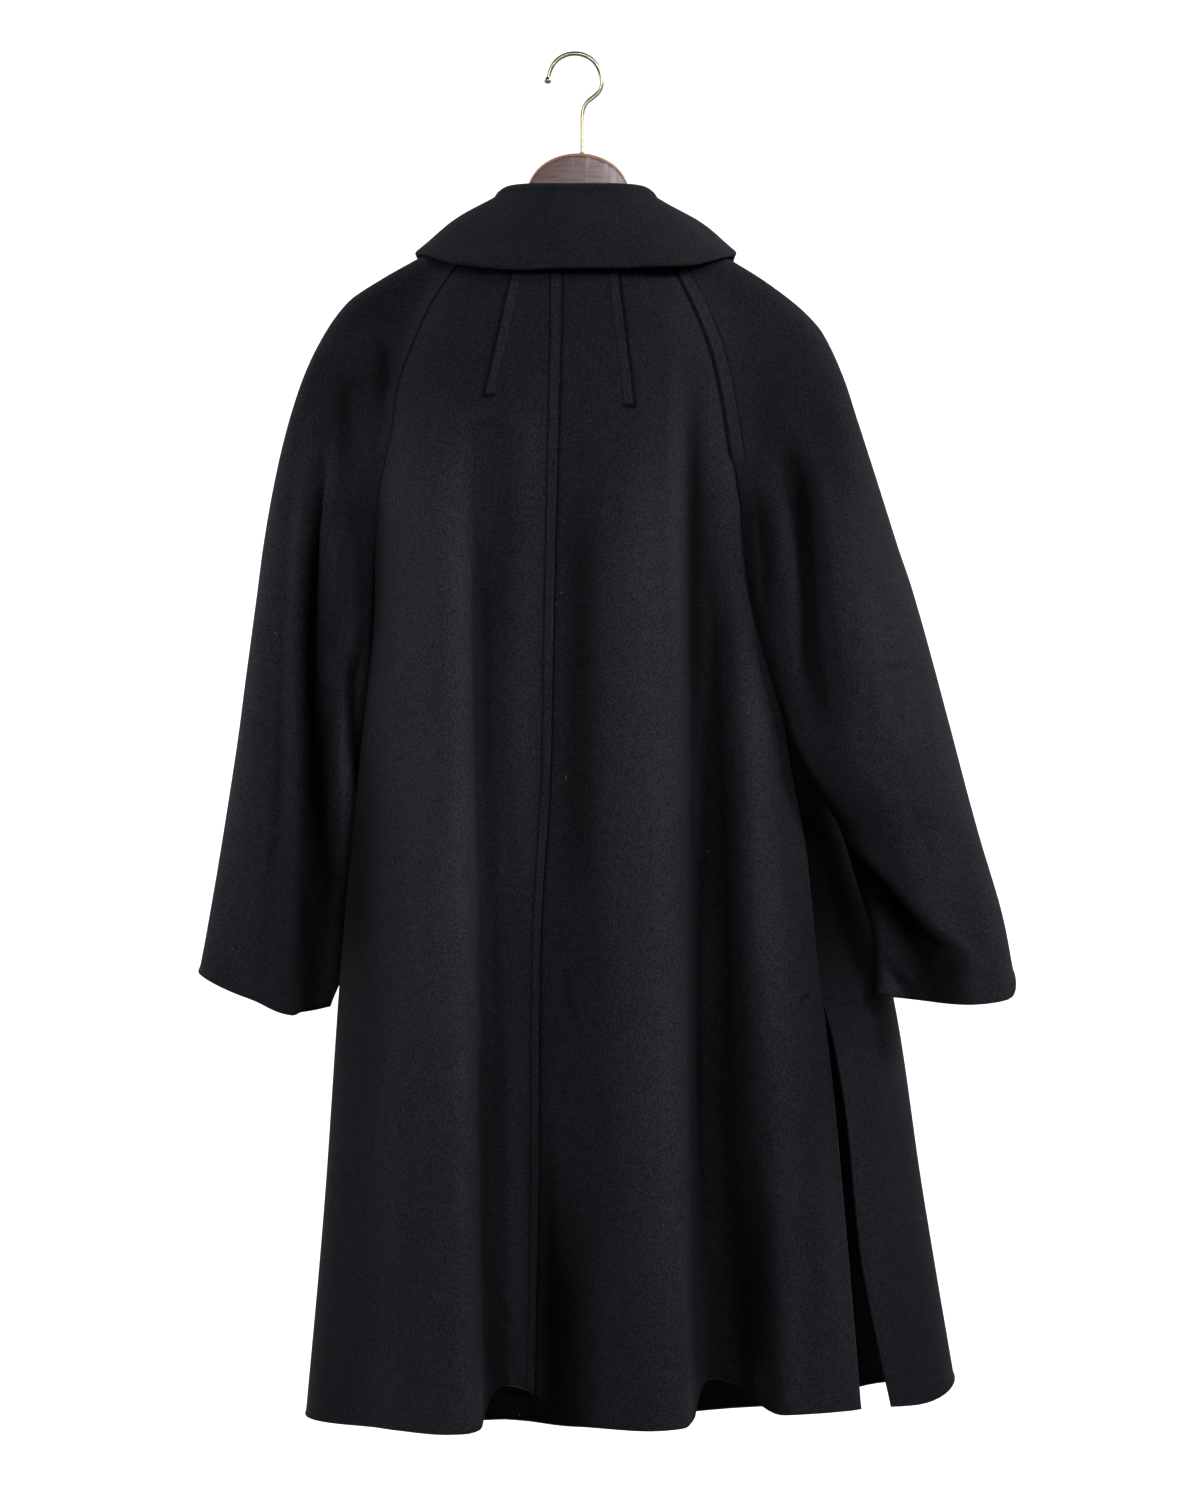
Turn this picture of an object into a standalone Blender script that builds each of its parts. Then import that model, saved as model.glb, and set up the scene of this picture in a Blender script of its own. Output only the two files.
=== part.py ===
"""Overcoat with raglan sleeves, hanging from a wooden hanger, as thin cloth walls.

Lengths in the tables are millimetres and angles are degrees; the meshes are in metres.
The origin is inside the crown of the hook, where the hanger is held. Z is up and the
coat's back faces -Y, so the wearer's right is at +X.
"""

import bpy
import numpy as np

MM = 0.001
SIGNS = {"left": -1.0, "right": 1.0}

# Cloth walls and the gaps between pieces
WALL = 2.4
COLLAR_WALL = 4.0
LINING_WALL = 1.0
LINING_INSET = 11.0
HALF_GAP = 0.15
CREASE_GAP = 0.5
SEAT_GAP = 0.35

# Levels of the cut: neck at the raglan seams, underarm, and where the hem is read
NECK_Z = -164.0
UNDERARM_Z = {"left": -530.0, "right": -605.0}
HEM_LOOK_Z = -1210.0
RAGLAN_TURN_Z = {"left": -350.0, "right": -398.0}
# The neck dips below the raglan corners, at the back's middle and along this share of a front
BACK_NECK_DROP = 8.0
FRONT_NECK_DROP = 68.0
FRONT_NECK_SHARE = 0.78
# The yoke's rows crowd towards the neck by this power
YOKE_CROWDING = 1.3
# Points inside the body and the sleeves, in plan, that their walls face away from
BODY_MIDDLE = (20.0, 0.0)
SLEEVE_MIDDLE = {"left": (-150.0, 20.0), "right": (150.0, -20.0)}

# Rows and columns of the walls
YOKE_ROWS = 11
SKIRT_ROWS = 16
CUFF_ROWS = 12
BACK_COLUMNS = 19
FRONT_COLUMNS = 13
SLEEVE_COLUMNS = 11
COLLAR_COLUMNS = 38
COLLAR_END = 171.0
LINING_ROWS = 6
LINING_FREE = 0.25
# Share of each panel that is lined, from its side seam; the rest of a front is faced
LINED = {"back_left": 1.0, "back_right": 1.0, "front_left": 0.56, "front_right": 0.42}

# Lapped seams stand proud by this much over this width
WELT_WIDTH = 11.0
WELT_RISE = 1.0
WELT_END_Z = -366.0

# Fronts: the right one lies this far out and the left one this far in where they lap
LAP_OUT = 1.3
LAP_IN = 5.4
LAP_START = 10.0
LAP_FADE = 60.0
LAP_SEAM_SHARE = 0.35

BUTTON_RADIUS = 12.5
BUTTON_DEPTH = 4.0
BUTTON_RIM = 0.9
BUTTON_SIDES = 24
BUTTON_SPREAD = 58.0
BUTTON_LEVELS = (-330.0, -455.0, -580.0)

# Body: the loop's reach to each side, its depth to back and front, and how square it is
BODY = {
    "columns": ("z", "left", "right", "back", "front", "power"),
    "rows": (
        (-146, -87, 78, 70, 66, 2.0),
        (-165, -100, 90, 76, 74, 2.0),
        (-190, -126, 106, 84, 82, 2.1),
        (-230, -150, 130, 92, 90, 2.2),
        (-270, -164, 144, 98, 95, 2.3),
        (-343, -176, 158, 105, 99, 2.4),
        (-410, -180, 168, 109, 101, 2.5),
        (-480, -180, 178, 112, 102, 2.5),
        (-630, -193, 214, 117, 106, 2.5),
        (-720, -202, 246, 120, 108, 2.5),
        (-843, -213, 283, 124, 110, 2.5),
        (-1014, -225, 309, 128, 112, 2.5),
        (-1250, -245, 348, 132, 114, 2.5),
    ),
}

# Centre seams, as x on the back and on the front, and how far each front laps past the centre
CENTRE = {
    "columns": ("z", "back", "front", "lap"),
    "rows": (
        (-160, -12, 2, 34),
        (-228, -13, 6, 50),
        (-320, -15, 14, 82),
        (-480, -19, 30, 85),
        (-634, -22, 54, 85),
        (-805, -31, 80, 85),
        (-985, -33, 106, 85),
        (-1250, -37, 136, 85),
    ),
}

# Raglan seams, as x on the back and on the front of each side
RAGLAN = {
    "columns": ("z", "left_back", "right_back", "left_front", "right_front"),
    "rows": (
        (-140, -66, 52, -66, 52),
        (-160, -79, 63, -78, 62),
        (-190, -103, 82, -104, 86),
        (-230, -130, 103, -128, 108),
        (-270, -148, 119, -146, 124),
        (-301, -159, 127, -156, 134),
        (-343, -165, 134, -163, 145),
        (-410, -172, 144, -170, 156),
    ),
}

# Side seams: angle round the loop from the back, and how far each vent stands open
SIDE = {
    "columns": ("z", "left", "right", "left_vent", "right_vent"),
    "rows": (
        (-480, -97, 71, 0, 0),
        (-605, -99.5, 67.5, 0, 0),
        (-700, -101, 65, 0, 0),
        (-843, -103, 61, 0, 0),
        (-960, -103, 61.5, -0.4, 3.0),
        (-1250, -104, 61, -0.8, 7.5),
    ),
}

# Hem level by angle round the loop
HEM = {
    "columns": ("angle", "z"),
    "rows": (
        (-245, -1230),
        (-200, -1242),
        (-150, -1256),
        (-120, -1240),
        (-104, -1229),
        (-85, -1220),
        (-45, -1211),
        (0, -1207),
        (45, -1199),
        (62, -1197),
        (72, -1199),
        (90, -1187),
        (120, -1222),
        (150, -1228),
        (190, -1242),
    ),
}
VALLEY_LIFT = 0.65

# Sleeves: outer edge, its y, how full each half is, where the inner seam lies and its distance
SLEEVE = {
    "columns": ("z", "outer", "mid", "full_back", "full_front", "inner", "clear"),
    "left": (
        (-154, -84, 0, 36, 36, -97, 0),
        (-187, -146, 0, 42, 42, -97, 0),
        (-206, -180, 0, 44, 44, -97, 0),
        (-223, -205, 0, 44, 44, -97, 0),
        (-258, -230, 0, 44, 44, -97, 0),
        (-304, -251, 7, 46, 46, -97, 0),
        (-368, -269, 13, 54, 52, -97, 0),
        (-443, -283, 20, 64, 60, -97, 0),
        (-480, -288, 24, 66, 62, -97, 0),
        (-530, -295, 29, 66, 62, -98.5, 3.4),
        (-570, -301, 33, 66, 62, -99, 8),
        (-630, -310, 38, 64, 60, -100, 8),
        (-796, -338, 46, 58, 56, -101, 8),
        (-870, -353, 48, 56, 54, -101, 34),
    ),
    "right": (
        (-154, 80, 0, 36, 36, 76, 0),
        (-186, 138, 0, 42, 42, 76, 0),
        (-207, 172, 0, 44, 44, 76, 0),
        (-235, 207, 0, 44, 44, 76, 0),
        (-252, 221, 0, 44, 44, 76, 0),
        (-293, 239, -7, 46, 46, 76, 0),
        (-329, 250, -12, 48, 47, 76, 0),
        (-407, 274, -22, 60, 56, 76, 0),
        (-443, 285, -26, 64, 60, 76, 0),
        (-480, 297, -31, 66, 62, 76, 0),
        (-605, 330, -46, 68, 62, 69, 3.4),
        (-645, 340, -51, 67, 62, 70, 8),
        (-699, 354, -58, 66, 60, 76, 9),
        (-775, 375, -68, 62, 58, 76, 9),
        (-820, 383, -74, 60, 56, 73, 9),
        (-870, 393, -79, 58, 54, 70, 9),
    ),
}
RIDGE_RISE = 10.0
# How far a sleeve runs on in the panel's direction, as a share of its width or of its fullness
SHOULDER_REACH = 0.55
POCKET_REACH = 0.85
SLEEVE_SEAM_SHARE = 0.12
POCKET_START_Z = -270.0
# Way that each half leaves its inner seam, as degrees from straight out
POCKET_WAY = {
    ("left", "back"): 38.0,
    ("left", "front"): 60.0,
    ("right", "back"): 62.0,
    ("right", "front"): 45.0,
}
CUFF = {
    "columns": ("across", "left_back", "right_back", "left_front", "right_front"),
    "rows": (
        (0.0, -860, -838, -860, -838),
        (0.2, -864, -842, -858, -840),
        (0.5, -849, -846, -850, -840),
        (0.8, -833, -842, -838, -836),
        (1.0, -826, -821, -826, -821),
    ),
}

# Folds: a line in x and z, the levels where it starts, is full, begins to fade and ends,
# its reach to each side and its height (a ridge is positive, a valley negative)
FOLD_COLUMNS = (
    "top_x", "top_z", "low_x", "low_z", "start", "full", "hold", "end", "to_left", "to_right", "rise"
)
PAST_HEM = (-1300, -1400)
# Cosines of the loop's angle between which the folds of a face come in from its side
FACE_FADE = (0.05, 0.45)
BACK_FOLDS = (
    (-114, -400, -98, -1221, -380, -1150, *PAST_HEM, 95, 24, 22),
    (-78, -500, -64, -1221, -560, -1210, *PAST_HEM, 30, 70, -32),
    (57, -400, 88, -1221, -420, -1150, *PAST_HEM, 90, 22, 24),
    (113, -400, 118, -1221, -430, -1180, *PAST_HEM, 26, 60, -30),
    (140, -368, 236, -1221, -420, -900, *PAST_HEM, 60, 22, 10),
)
FRONT_FOLDS = (
    (-130, -500, -160, -1230, -480, -1150, *PAST_HEM, 34, 80, 20),
    (-95, -700, -100, -1230, -700, -1200, *PAST_HEM, 50, 34, -22),
    (-60, -700, -40, -1230, -700, -1200, *PAST_HEM, 40, 50, 14),
    (165, -600, 275, -1230, -640, -1150, *PAST_HEM, 30, 45, 14),
)
SLEEVE_FOLDS = {
    ("left", "back"): (
        (-214, -290, -256, -841, -280, -420, -800, -1000, 34, 16, 8),
        (-206, -290, -228, -800, -290, -430, -600, -780, 14, 26, -14),
        (-192, -531, -190, -660, -500, -560, -640, -720, 16, 16, -10),
    ),
    ("left", "front"): (
        (-225, -300, -270, -841, -300, -450, -800, -1000, 20, 34, 8),
        (-212, -300, -235, -800, -320, -460, -600, -780, 14, 26, -10),
    ),
    ("right", "back"): (
        (193, -350, 212, -610, -340, -420, -560, -680, 18, 26, -10),
        (214, -350, 240, -610, -340, -430, -560, -700, 20, 40, 6),
    ),
    ("right", "front"): (
        (205, -330, 300, -820, -320, -450, -700, -860, 24, 40, -10),
        (235, -330, 330, -820, -330, -480, -760, -900, 30, 24, 7),
    ),
}
# The right sleeve's back half hangs over its lower part along this slanting edge
FLAP = {
    "columns": ("x", "z"),
    "rows": ((160, -598), (194, -640), (234, -694), (273, -735), (309, -775), (340, -798)),
}
FLAP_DEPTH = 32.0
FLAP_ROLL = 20.0
FLAP_BULGE = 16.0
FLAP_REACH = 110.0
FLAP_FADE = (262.0, 348.0)
FLAP_SEAM_SHARES = (0.2, 0.25)

# Neck darts: centre line and width of each lapped strip on the back
DARTS = {
    "columns": ("top_x", "top_z", "low_x", "low_z"),
    "left": (-46, -184, -75, -316),
    "right": (29, -184, 46, -326),
}
DART_WIDTH = 10.0
DART_WALL = 1.2
DART_ROWS = 7

# Collar: roll line and fall edge by angle round the neck
COLLAR = {
    "columns": ("angle", "roll_out", "roll_back", "roll_z", "fall_out", "fall_back", "fall_z"),
    "rows": (
        (0, 0, -60, -126, 0, -103, -206),
        (30, 34, -54, -125, 74, -93, -203),
        (60, 58, -34, -124, 124, -60, -191),
        (90, 66, 0, -126, 144, 0, -180),
        (120, 61, 38, -133, 138, 60, -194),
        (150, 40, 72, -166, 100, 100, -236),
        (171, 10, 87, -196, 62, 114, -286),
    ),
}
COLLAR_MID = -1.0
ROLL_RADIUS = 6.2
COLLAR_BOW = 2.4
STAND_ROWS = 2
ROLL_ROWS = 4
FALL_ROWS = 4

# Hanger and hook
HANGER_MID = 1.0
HANGER_TOP = -88.0
ARCH_HALF = 46.0
ARCH_HEIGHT = 36.0
ARCH_STEPS = 12
HANGER_HALF_DEPTH = 8.0
HANGER_EDGE = 4.0
ARM_TIP_X = 222.0
HUB_FLANK = (57.0, -151.0)
ARM_DEPTHS = (46.0, 24.0)
ARM_LEAN = 10.0
ARM_SEAT = 0.45
HUB_DEPTH = 84.0
WIRE_RADIUS = 2.2
HOOK_RADIUS = 24.2
HOOK_MID = (-2.0, -22.0)
HOOK_TURN = (176.0, -28.0)
HOOK_STEPS = 22
HOOK_NECK = ((13.0, -38.5), (8.0, -42.5), (5.3, -47.0), (4.5, -52.0), (4.5, -70.0))
# The ball at the free end: how far past the wire it lies, and its size in wire radii
HOOK_BALL = ((-0.6, -4.4, 0.35), (-0.4, -3.2, 1.25), (-0.2, -1.6, 1.5), (0.0, 0.0, 1.3))


def smooth_curve(at, stations, values):
    """A curve through the stations with no overshoot, read at every value of at."""
    order = np.argsort(stations)
    stations = np.asarray(stations, float)[order]
    values = np.asarray(values, float)[order]
    step = np.diff(stations)
    grade = np.diff(values) / step
    product = grade[1:] * grade[:-1]
    total = grade[1:] + grade[:-1]
    slope = np.zeros_like(values)
    rising = product > 0
    slope[1:-1][rising] = 2 * product[rising] / total[rising]
    slope[0], slope[-1] = grade[0], grade[-1]
    at = np.clip(at, stations[0], stations[-1])
    i = np.clip(np.searchsorted(stations, at) - 1, 0, len(step) - 1)
    t = (at - stations[i]) / step[i]
    start = (1 + 2 * t) * (1 - t) ** 2 * values[i] + t * (1 - t) ** 2 * step[i] * slope[i]
    end = t * t * (3 - 2 * t) * values[i + 1] - t * t * (1 - t) * step[i] * slope[i + 1]
    return start + end


def read(table, name, at, rows="rows"):
    columns = table["columns"]
    stations = [row[0] for row in table[rows]]
    values = [row[columns.index(name)] for row in table[rows]]
    return smooth_curve(at, stations, values)


def ease(start, end, at):
    """0 at start, 1 at end, with a soft run between."""
    t = np.clip((at - start) / (end - start), 0, 1)
    return t * t * (3 - 2 * t)


def blend(a, b, t):
    return a + (b - a) * t


def fold_height(x, z, folds):
    """Sum of the folds at x and z: each is a bump across its own line."""
    height = np.zeros(np.broadcast(x, z).shape)
    for row in folds:
        fold = dict(zip(FOLD_COLUMNS, row))
        along = (z - fold["top_z"]) / (fold["low_z"] - fold["top_z"])
        across = x - blend(fold["top_x"], fold["low_x"], along)
        reach = np.where(across < 0, fold["to_left"], fold["to_right"])
        bump = np.clip(1 - (across / reach) ** 2, 0, None) ** 2
        strength = ease(fold["start"], fold["full"], z) * (1 - ease(fold["hold"], fold["end"], z))
        height += fold["rise"] * strength * bump
    return height


def loop_sizes(z):
    left, right = read(BODY, "left", z), read(BODY, "right", z)
    return (left + right) / 2, (right - left) / 2, read(BODY, "power", z)


def angle_at(x, z, face):
    """Angle round the body loop, from the back, of the point at x on its back or front."""
    mid, half, power = loop_sizes(z)
    across = np.clip((x - mid) / half, -0.995, 0.995)
    deep = read(BODY, face, z) * (1 - np.abs(across) ** power) ** (1 / power)
    return np.arctan2(across * half, deep if face == "back" else -deep)


def loop_point(angle, z):
    """The plain body loop: a superellipse read at an angle from its middle."""
    mid, half, power = loop_sizes(z)
    out, back = np.sin(angle), np.cos(angle)
    depth = np.where(back > 0, read(BODY, "back", z), read(BODY, "front", z))
    radius = (np.abs(out / half) ** power + np.abs(back / depth) ** power) ** (-1 / power)
    return mid + radius * out, -radius * back


def body_point(angle, z):
    """Body surface: the loop with its folds."""
    x, y = loop_point(angle, z)
    back_share = ease(*FACE_FADE, np.cos(angle))
    front_share = ease(*FACE_FADE, -np.cos(angle))
    y = y - back_share * fold_height(x, z, BACK_FOLDS)
    y = y + front_share * fold_height(x, z, FRONT_FOLDS)
    return x, y


def outward(angle, z):
    """Unit direction out of the plain loop and unit direction along it, in plan."""
    step = 0.01
    x0, y0 = loop_point(angle - step, z)
    x1, y1 = loop_point(angle + step, z)
    length = np.hypot(x1 - x0, y1 - y0)
    along = ((x1 - x0) / length, (y1 - y0) / length)
    return (along[1], -along[0]), along


def side_angle(side, face, z):
    angle = read(SIDE, side, z)
    if face == "front":
        angle = angle + read(SIDE, side + "_vent", z)
    return np.radians(angle)


def seam_angle(side, face, z):
    """Raglan seam down to the underarm, then the side seam."""
    raglan = angle_at(read(RAGLAN, side + "_" + face, z), z, face)
    turn = ease(RAGLAN_TURN_Z[side], UNDERARM_Z[side], z)
    return np.where(
        z >= UNDERARM_Z[side],
        blend(raglan, side_angle(side, face, UNDERARM_Z[side] + 0 * z), turn),
        side_angle(side, face, z),
    )


def edge_angle(side, face, z):
    """Centre back seam, or the front edge, which laps past the centre front."""
    centre = read(CENTRE, face, z)
    if face == "back":
        return angle_at(centre, z, "back")
    lap = read(CENTRE, "lap", z)
    if side == "right":
        angle = angle_at(centre - lap, z, "front")
        return np.where(angle < 0, angle + 2 * np.pi, angle)
    angle = angle_at(centre + lap, z, "front")
    return np.where(angle > 0, angle - 2 * np.pi, angle)


def yoke_level(side, row):
    share = np.clip(row, 0, YOKE_ROWS) / YOKE_ROWS
    return NECK_Z + (UNDERARM_Z[side] - NECK_Z) * share**YOKE_CROWDING


def hem_level(angle):
    level = read(HEM, "z", np.degrees(angle))
    x, _ = loop_point(angle, HEM_LOOK_Z + 0 * angle)
    back_share = ease(*FACE_FADE, np.cos(angle))
    valley = back_share * fold_height(x, HEM_LOOK_Z + 0 * angle, BACK_FOLDS)
    return level + VALLEY_LIFT * np.clip(-valley, 0, None)


def panel_place(side, face, across, row):
    """Angle and level of a panel's points; across runs from its raglan or side seam to the centre."""
    fade = 1 - np.clip(row, 0, YOKE_ROWS) / YOKE_ROWS
    if face == "back":
        drop = -BACK_NECK_DROP * ease(0, 1, across)
    else:
        drop = -FRONT_NECK_DROP * ease(0, FRONT_NECK_SHARE, across)
    look = HEM_LOOK_Z + 0 * across
    hem_angle = blend(seam_angle(side, face, look), edge_angle(side, face, look), across)
    skirt = np.clip(row - YOKE_ROWS, 0, None) / SKIRT_ROWS
    z = yoke_level(side, row) + drop * fade + (hem_level(hem_angle) - UNDERARM_Z[side]) * skirt
    return blend(seam_angle(side, face, z), edge_angle(side, face, z), across), z


def body_panel(side, face):
    """Surface of one panel, with the fronts drawn apart where they lap."""

    def surface(across, row):
        angle, z = panel_place(side, face, across, row)
        x, y = body_point(angle, z)
        if face == "front":
            past = np.abs(x - read(CENTRE, "front", z)) - read(CENTRE, "lap", z)
            lapped = (1 - ease(LAP_START, LAP_START + LAP_FADE, past)) * ease(0, LAP_SEAM_SHARE, across)
            y = y + (LAP_OUT if side == "right" else -LAP_IN) * lapped
        return np.stack([x, y, z], axis=-1)

    return surface


def flap_step(x, z):
    """The right sleeve swells towards the flap's slanting edge, and its lower part lies behind it."""
    drop = read(FLAP, "z", x) - z
    below = ease(0, FLAP_ROLL, drop)
    above = ease(-FLAP_REACH, 0, drop)
    return (FLAP_DEPTH * below - FLAP_BULGE * above * (1 - below)) * (1 - ease(*FLAP_FADE, x))


def sleeve_half(side, face):
    """Surface of half a sleeve: across runs from the raglan or inner seam (0) to the outer edge (1)."""
    sign = SIGNS[side]
    way = -1.0 if face == "back" else 1.0

    def surface(across, row):
        fade = (1 - np.clip(row, 0, YOKE_ROWS) / YOKE_ROWS) ** 2
        cuff = read(CUFF, side + "_" + face, across)
        lower = np.clip(row - YOKE_ROWS, 0, None) / CUFF_ROWS
        underarm = UNDERARM_Z[side]
        z = yoke_level(side, row) + RIDGE_RISE * ease(0, 1, across) * fade + (cuff - underarm) * lower
        inner = np.radians(read(SLEEVE, "inner", z, side))
        angle = np.where(z >= underarm, seam_angle(side, face, z), inner)
        clear = read(SLEEVE, "clear", z, side)
        out, along = outward(angle, z)
        x0, y0 = body_point(angle, z)
        x0, y0 = x0 + clear * out[0], y0 + clear * out[1]
        x3, y3 = read(SLEEVE, "outer", z, side), read(SLEEVE, "mid", z, side)
        full = read(SLEEVE, "full_" + face, z, side)
        pocket = ease(POCKET_START_Z, underarm, z)
        pocket_way = np.radians(POCKET_WAY[side, face])
        forward = sign * -way
        dx = blend(along[0] * forward, sign * np.cos(pocket_way), pocket)
        dy = blend(along[1] * forward, way * np.sin(pocket_way), pocket)
        reach = blend(SHOULDER_REACH * np.abs(x3 - x0), POCKET_REACH * full, pocket) / np.hypot(dx, dy)
        t, s = across, 1 - across
        x = s**3 * x0 + 3 * s * s * t * (x0 + reach * dx) + (3 * s * t * t + t**3) * x3
        y = s**3 * y0 + 3 * s * s * t * (y0 + reach * dy) + 3 * s * t * t * (y3 + way * full) + t**3 * y3
        edge_free = ease(0, SLEEVE_SEAM_SHARE, across) * ease(0, SLEEVE_SEAM_SHARE, 1 - across)
        y = y + way * edge_free * fold_height(x, z, SLEEVE_FOLDS[side, face])
        if (side, face) == ("right", "back"):
            from_seam, from_edge = FLAP_SEAM_SHARES
            y = y + ease(0, from_seam, across) * ease(0, from_edge, 1 - across) * flap_step(x, z)
        return np.stack([x, y, z], axis=-1)

    return surface


def unit(vectors):
    return vectors / np.linalg.norm(vectors, axis=-1, keepdims=True)


def grid_normals(points, middle):
    """Unit normals of a grid of points, turned away from the point middle in plan."""
    normal = unit(np.cross(np.gradient(points, axis=1), np.gradient(points, axis=0)))
    facing = np.sum(normal[..., :2] * (points[..., :2] - np.array(middle)))
    return normal if facing > 0 else -normal


def make_object(name, vertices, faces, material):
    mesh = bpy.data.meshes.new(name)
    mesh.from_pydata([tuple(v) for v in np.asarray(vertices) * MM], [], faces)
    mesh.validate()
    mesh.materials.append(material)
    mesh.shade_smooth()
    mesh.set_sharp_from_angle(angle=np.radians(50))
    piece = bpy.data.objects.new(name, mesh)
    bpy.context.collection.objects.link(piece)
    return piece


def grid_faces(split, offset, flip):
    """Triangles of a grid of points stored row by row; split says which diagonal cuts each cell."""
    columns = split.shape[1] + 1
    faces = []
    for r, c in np.ndindex(split.shape):
        a = offset + r * columns + c
        b, d, e = a + 1, a + columns, a + columns + 1
        pair = [(a, b, e), (a, e, d)] if split[r, c] else [(a, b, d), (b, e, d)]
        faces += [face[::-1] for face in pair] if flip else pair
    return faces


def wall(name, outer, inner, material):
    """A closed wall between two grids of points, with both faces cut along the same diagonals."""
    rows, columns = outer.shape[:2]
    count = rows * columns
    vertices = np.concatenate([outer.reshape(-1, 3), inner.reshape(-1, 3)])
    middle = (outer + inner) / 2
    one_way = np.linalg.norm(middle[1:, 1:] - middle[:-1, :-1], axis=-1)
    other_way = np.linalg.norm(middle[1:, :-1] - middle[:-1, 1:], axis=-1)
    split = one_way <= other_way
    rim = [c for c in range(columns)]
    rim += [r * columns + columns - 1 for r in range(1, rows)]
    rim += [(rows - 1) * columns + c for c in range(columns - 2, -1, -1)]
    rim += [r * columns for r in range(rows - 2, 0, -1)]
    faces = grid_faces(split, 0, False) + grid_faces(split, count, True)
    for a, b in zip(rim, rim[1:] + rim[:1]):
        faces += [(b, a, a + count), (b, a + count, b + count)]
    if np.linalg.det(vertices[np.array(faces)]).sum() < 0:
        faces = [face[::-1] for face in faces]
    return make_object(name, vertices, faces, material)


def make_material(name, colour, roughness, metallic=0.0):
    material = bpy.data.materials.new(name)
    material.use_nodes = True
    shader = material.node_tree.nodes["Principled BSDF"]
    shader.inputs["Base Color"].default_value = (*colour, 1.0)
    shader.inputs["Roughness"].default_value = roughness
    shader.inputs["Metallic"].default_value = metallic
    return material


def panel_columns(surface, count, welt_side, look_row):
    """Even columns, with two more beside a lapped seam so that its welt has a sharp edge."""
    across = np.linspace(0, 1, count + 1)
    if welt_side is None:
        return across
    ends = surface(across, np.full(count + 1, float(look_row)))
    length = np.linalg.norm(np.diff(ends, axis=0), axis=1).sum()
    near = WELT_WIDTH / length
    marks = [near * 0.9, near]
    marks = marks if welt_side == 0 else [1 - m for m in marks]
    kept = [a for a in across if all(abs(a - m) > 0.02 or a in (0, 1) for m in marks)]
    return np.array(sorted(kept + marks))


def cloth_grids():
    """Mid-surface points, normals and welt heights of the eight cut panels."""
    grids = {}
    for side in SIGNS:
        for face in ("back", "front"):
            body = body_panel(side, face)
            columns = BACK_COLUMNS if face == "back" else FRONT_COLUMNS
            lapped = (side, face) == ("left", "back")
            across = panel_columns(body, columns, 1 if lapped else None, YOKE_ROWS)
            rows = np.arange(YOKE_ROWS + SKIRT_ROWS + 1.0)
            a, r = np.meshgrid(across, rows)
            points = body(a, r)
            normals = grid_normals(points, BODY_MIDDLE)
            rise = np.zeros(a.shape)
            if lapped:
                rise[:, -2:] = WELT_RISE
            out, _ = outward(*panel_place(side, face, a, r))
            inward = -np.stack([*out, np.zeros(a.shape)], axis=-1)
            grids[f"{face}_{side}"] = {"points": points, "normals": normals, "rise": rise, "inward": inward}

            sleeve = sleeve_half(side, face)
            across = panel_columns(sleeve, SLEEVE_COLUMNS, 0 if face == "back" else None, YOKE_ROWS // 2)
            rows = np.arange(YOKE_ROWS + CUFF_ROWS + 1.0)
            a, r = np.meshgrid(across, rows)
            points = sleeve(a, r)
            normals = grid_normals(points, SLEEVE_MIDDLE[side])
            rise = np.zeros(a.shape)
            if face == "back":
                rise[:, :2] = WELT_RISE * (points[:, :2, 2] > WELT_END_Z)
            grids[f"sleeve_{face}_{side}"] = {"points": points, "normals": normals, "rise": rise}
    return grids


def share_seam(grids, first, first_column, second, second_column, rows, gap=HALF_GAP):
    """Both edges of a seam get one normal, so that their walls meet in a mitre, and draw apart."""
    a, b = grids[first], grids[second]
    normal = unit(a["normals"][rows, first_column] + b["normals"][rows, second_column])
    a["normals"][rows, first_column] = normal
    b["normals"][rows, second_column] = normal
    for grid, column in ((a, first_column), (b, second_column)):
        inside = 1 if column == 0 else -2
        points = grid["points"]
        points[rows, column] += gap * unit(points[rows, inside] - points[rows, column])


def sew(grids):
    yoke = slice(0, YOKE_ROWS)
    below = slice(YOKE_ROWS, None)
    to_crease = np.linspace(0, 1, YOKE_ROWS)[:, None] ** 3
    yoke_gap = blend(HALF_GAP, CREASE_GAP, to_crease)
    share_seam(grids, "back_left", -1, "back_right", -1, slice(None))
    for side in SIGNS:
        for face in ("back", "front"):
            share_seam(grids, f"{face}_{side}", 0, f"sleeve_{face}_{side}", 0, yoke, yoke_gap)
        share_seam(grids, f"back_{side}", 0, f"front_{side}", 0, below)
        share_seam(grids, f"sleeve_back_{side}", 0, f"sleeve_front_{side}", 0, below, CREASE_GAP)
        share_seam(grids, f"sleeve_back_{side}", -1, f"sleeve_front_{side}", -1, slice(None))


def make_cloth(grids, cloth, lining):
    for name, grid in grids.items():
        points, normals = grid["points"], grid["normals"]
        outer = points + normals * (WALL / 2 + grid["rise"])[..., None]
        wall(name, outer, points - normals * (WALL / 2), cloth)
        if name.startswith("sleeve"):
            continue
        # The lining is sewn on beside the side seam and hangs free of the panel from there on
        part = (slice(-LINING_ROWS, None), slice(0, round(LINED[name] * points.shape[1])))
        sewn = points[part] - normals[part] * (WALL / 2 + SEAT_GAP + LINING_WALL / 2)
        hung = points[part] + grid["inward"][part] * LINING_INSET
        free = ease(0, LINING_FREE, np.linspace(0, 1, sewn.shape[1]))[:, None]
        lined = blend(sewn, hung, free)
        lined[-1] = (lined[-1] + lined[-2]) / 2
        half = normals[part] * (LINING_WALL / 2)
        wall(f"lining_{name}", lined + half, lined - half, lining)


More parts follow.
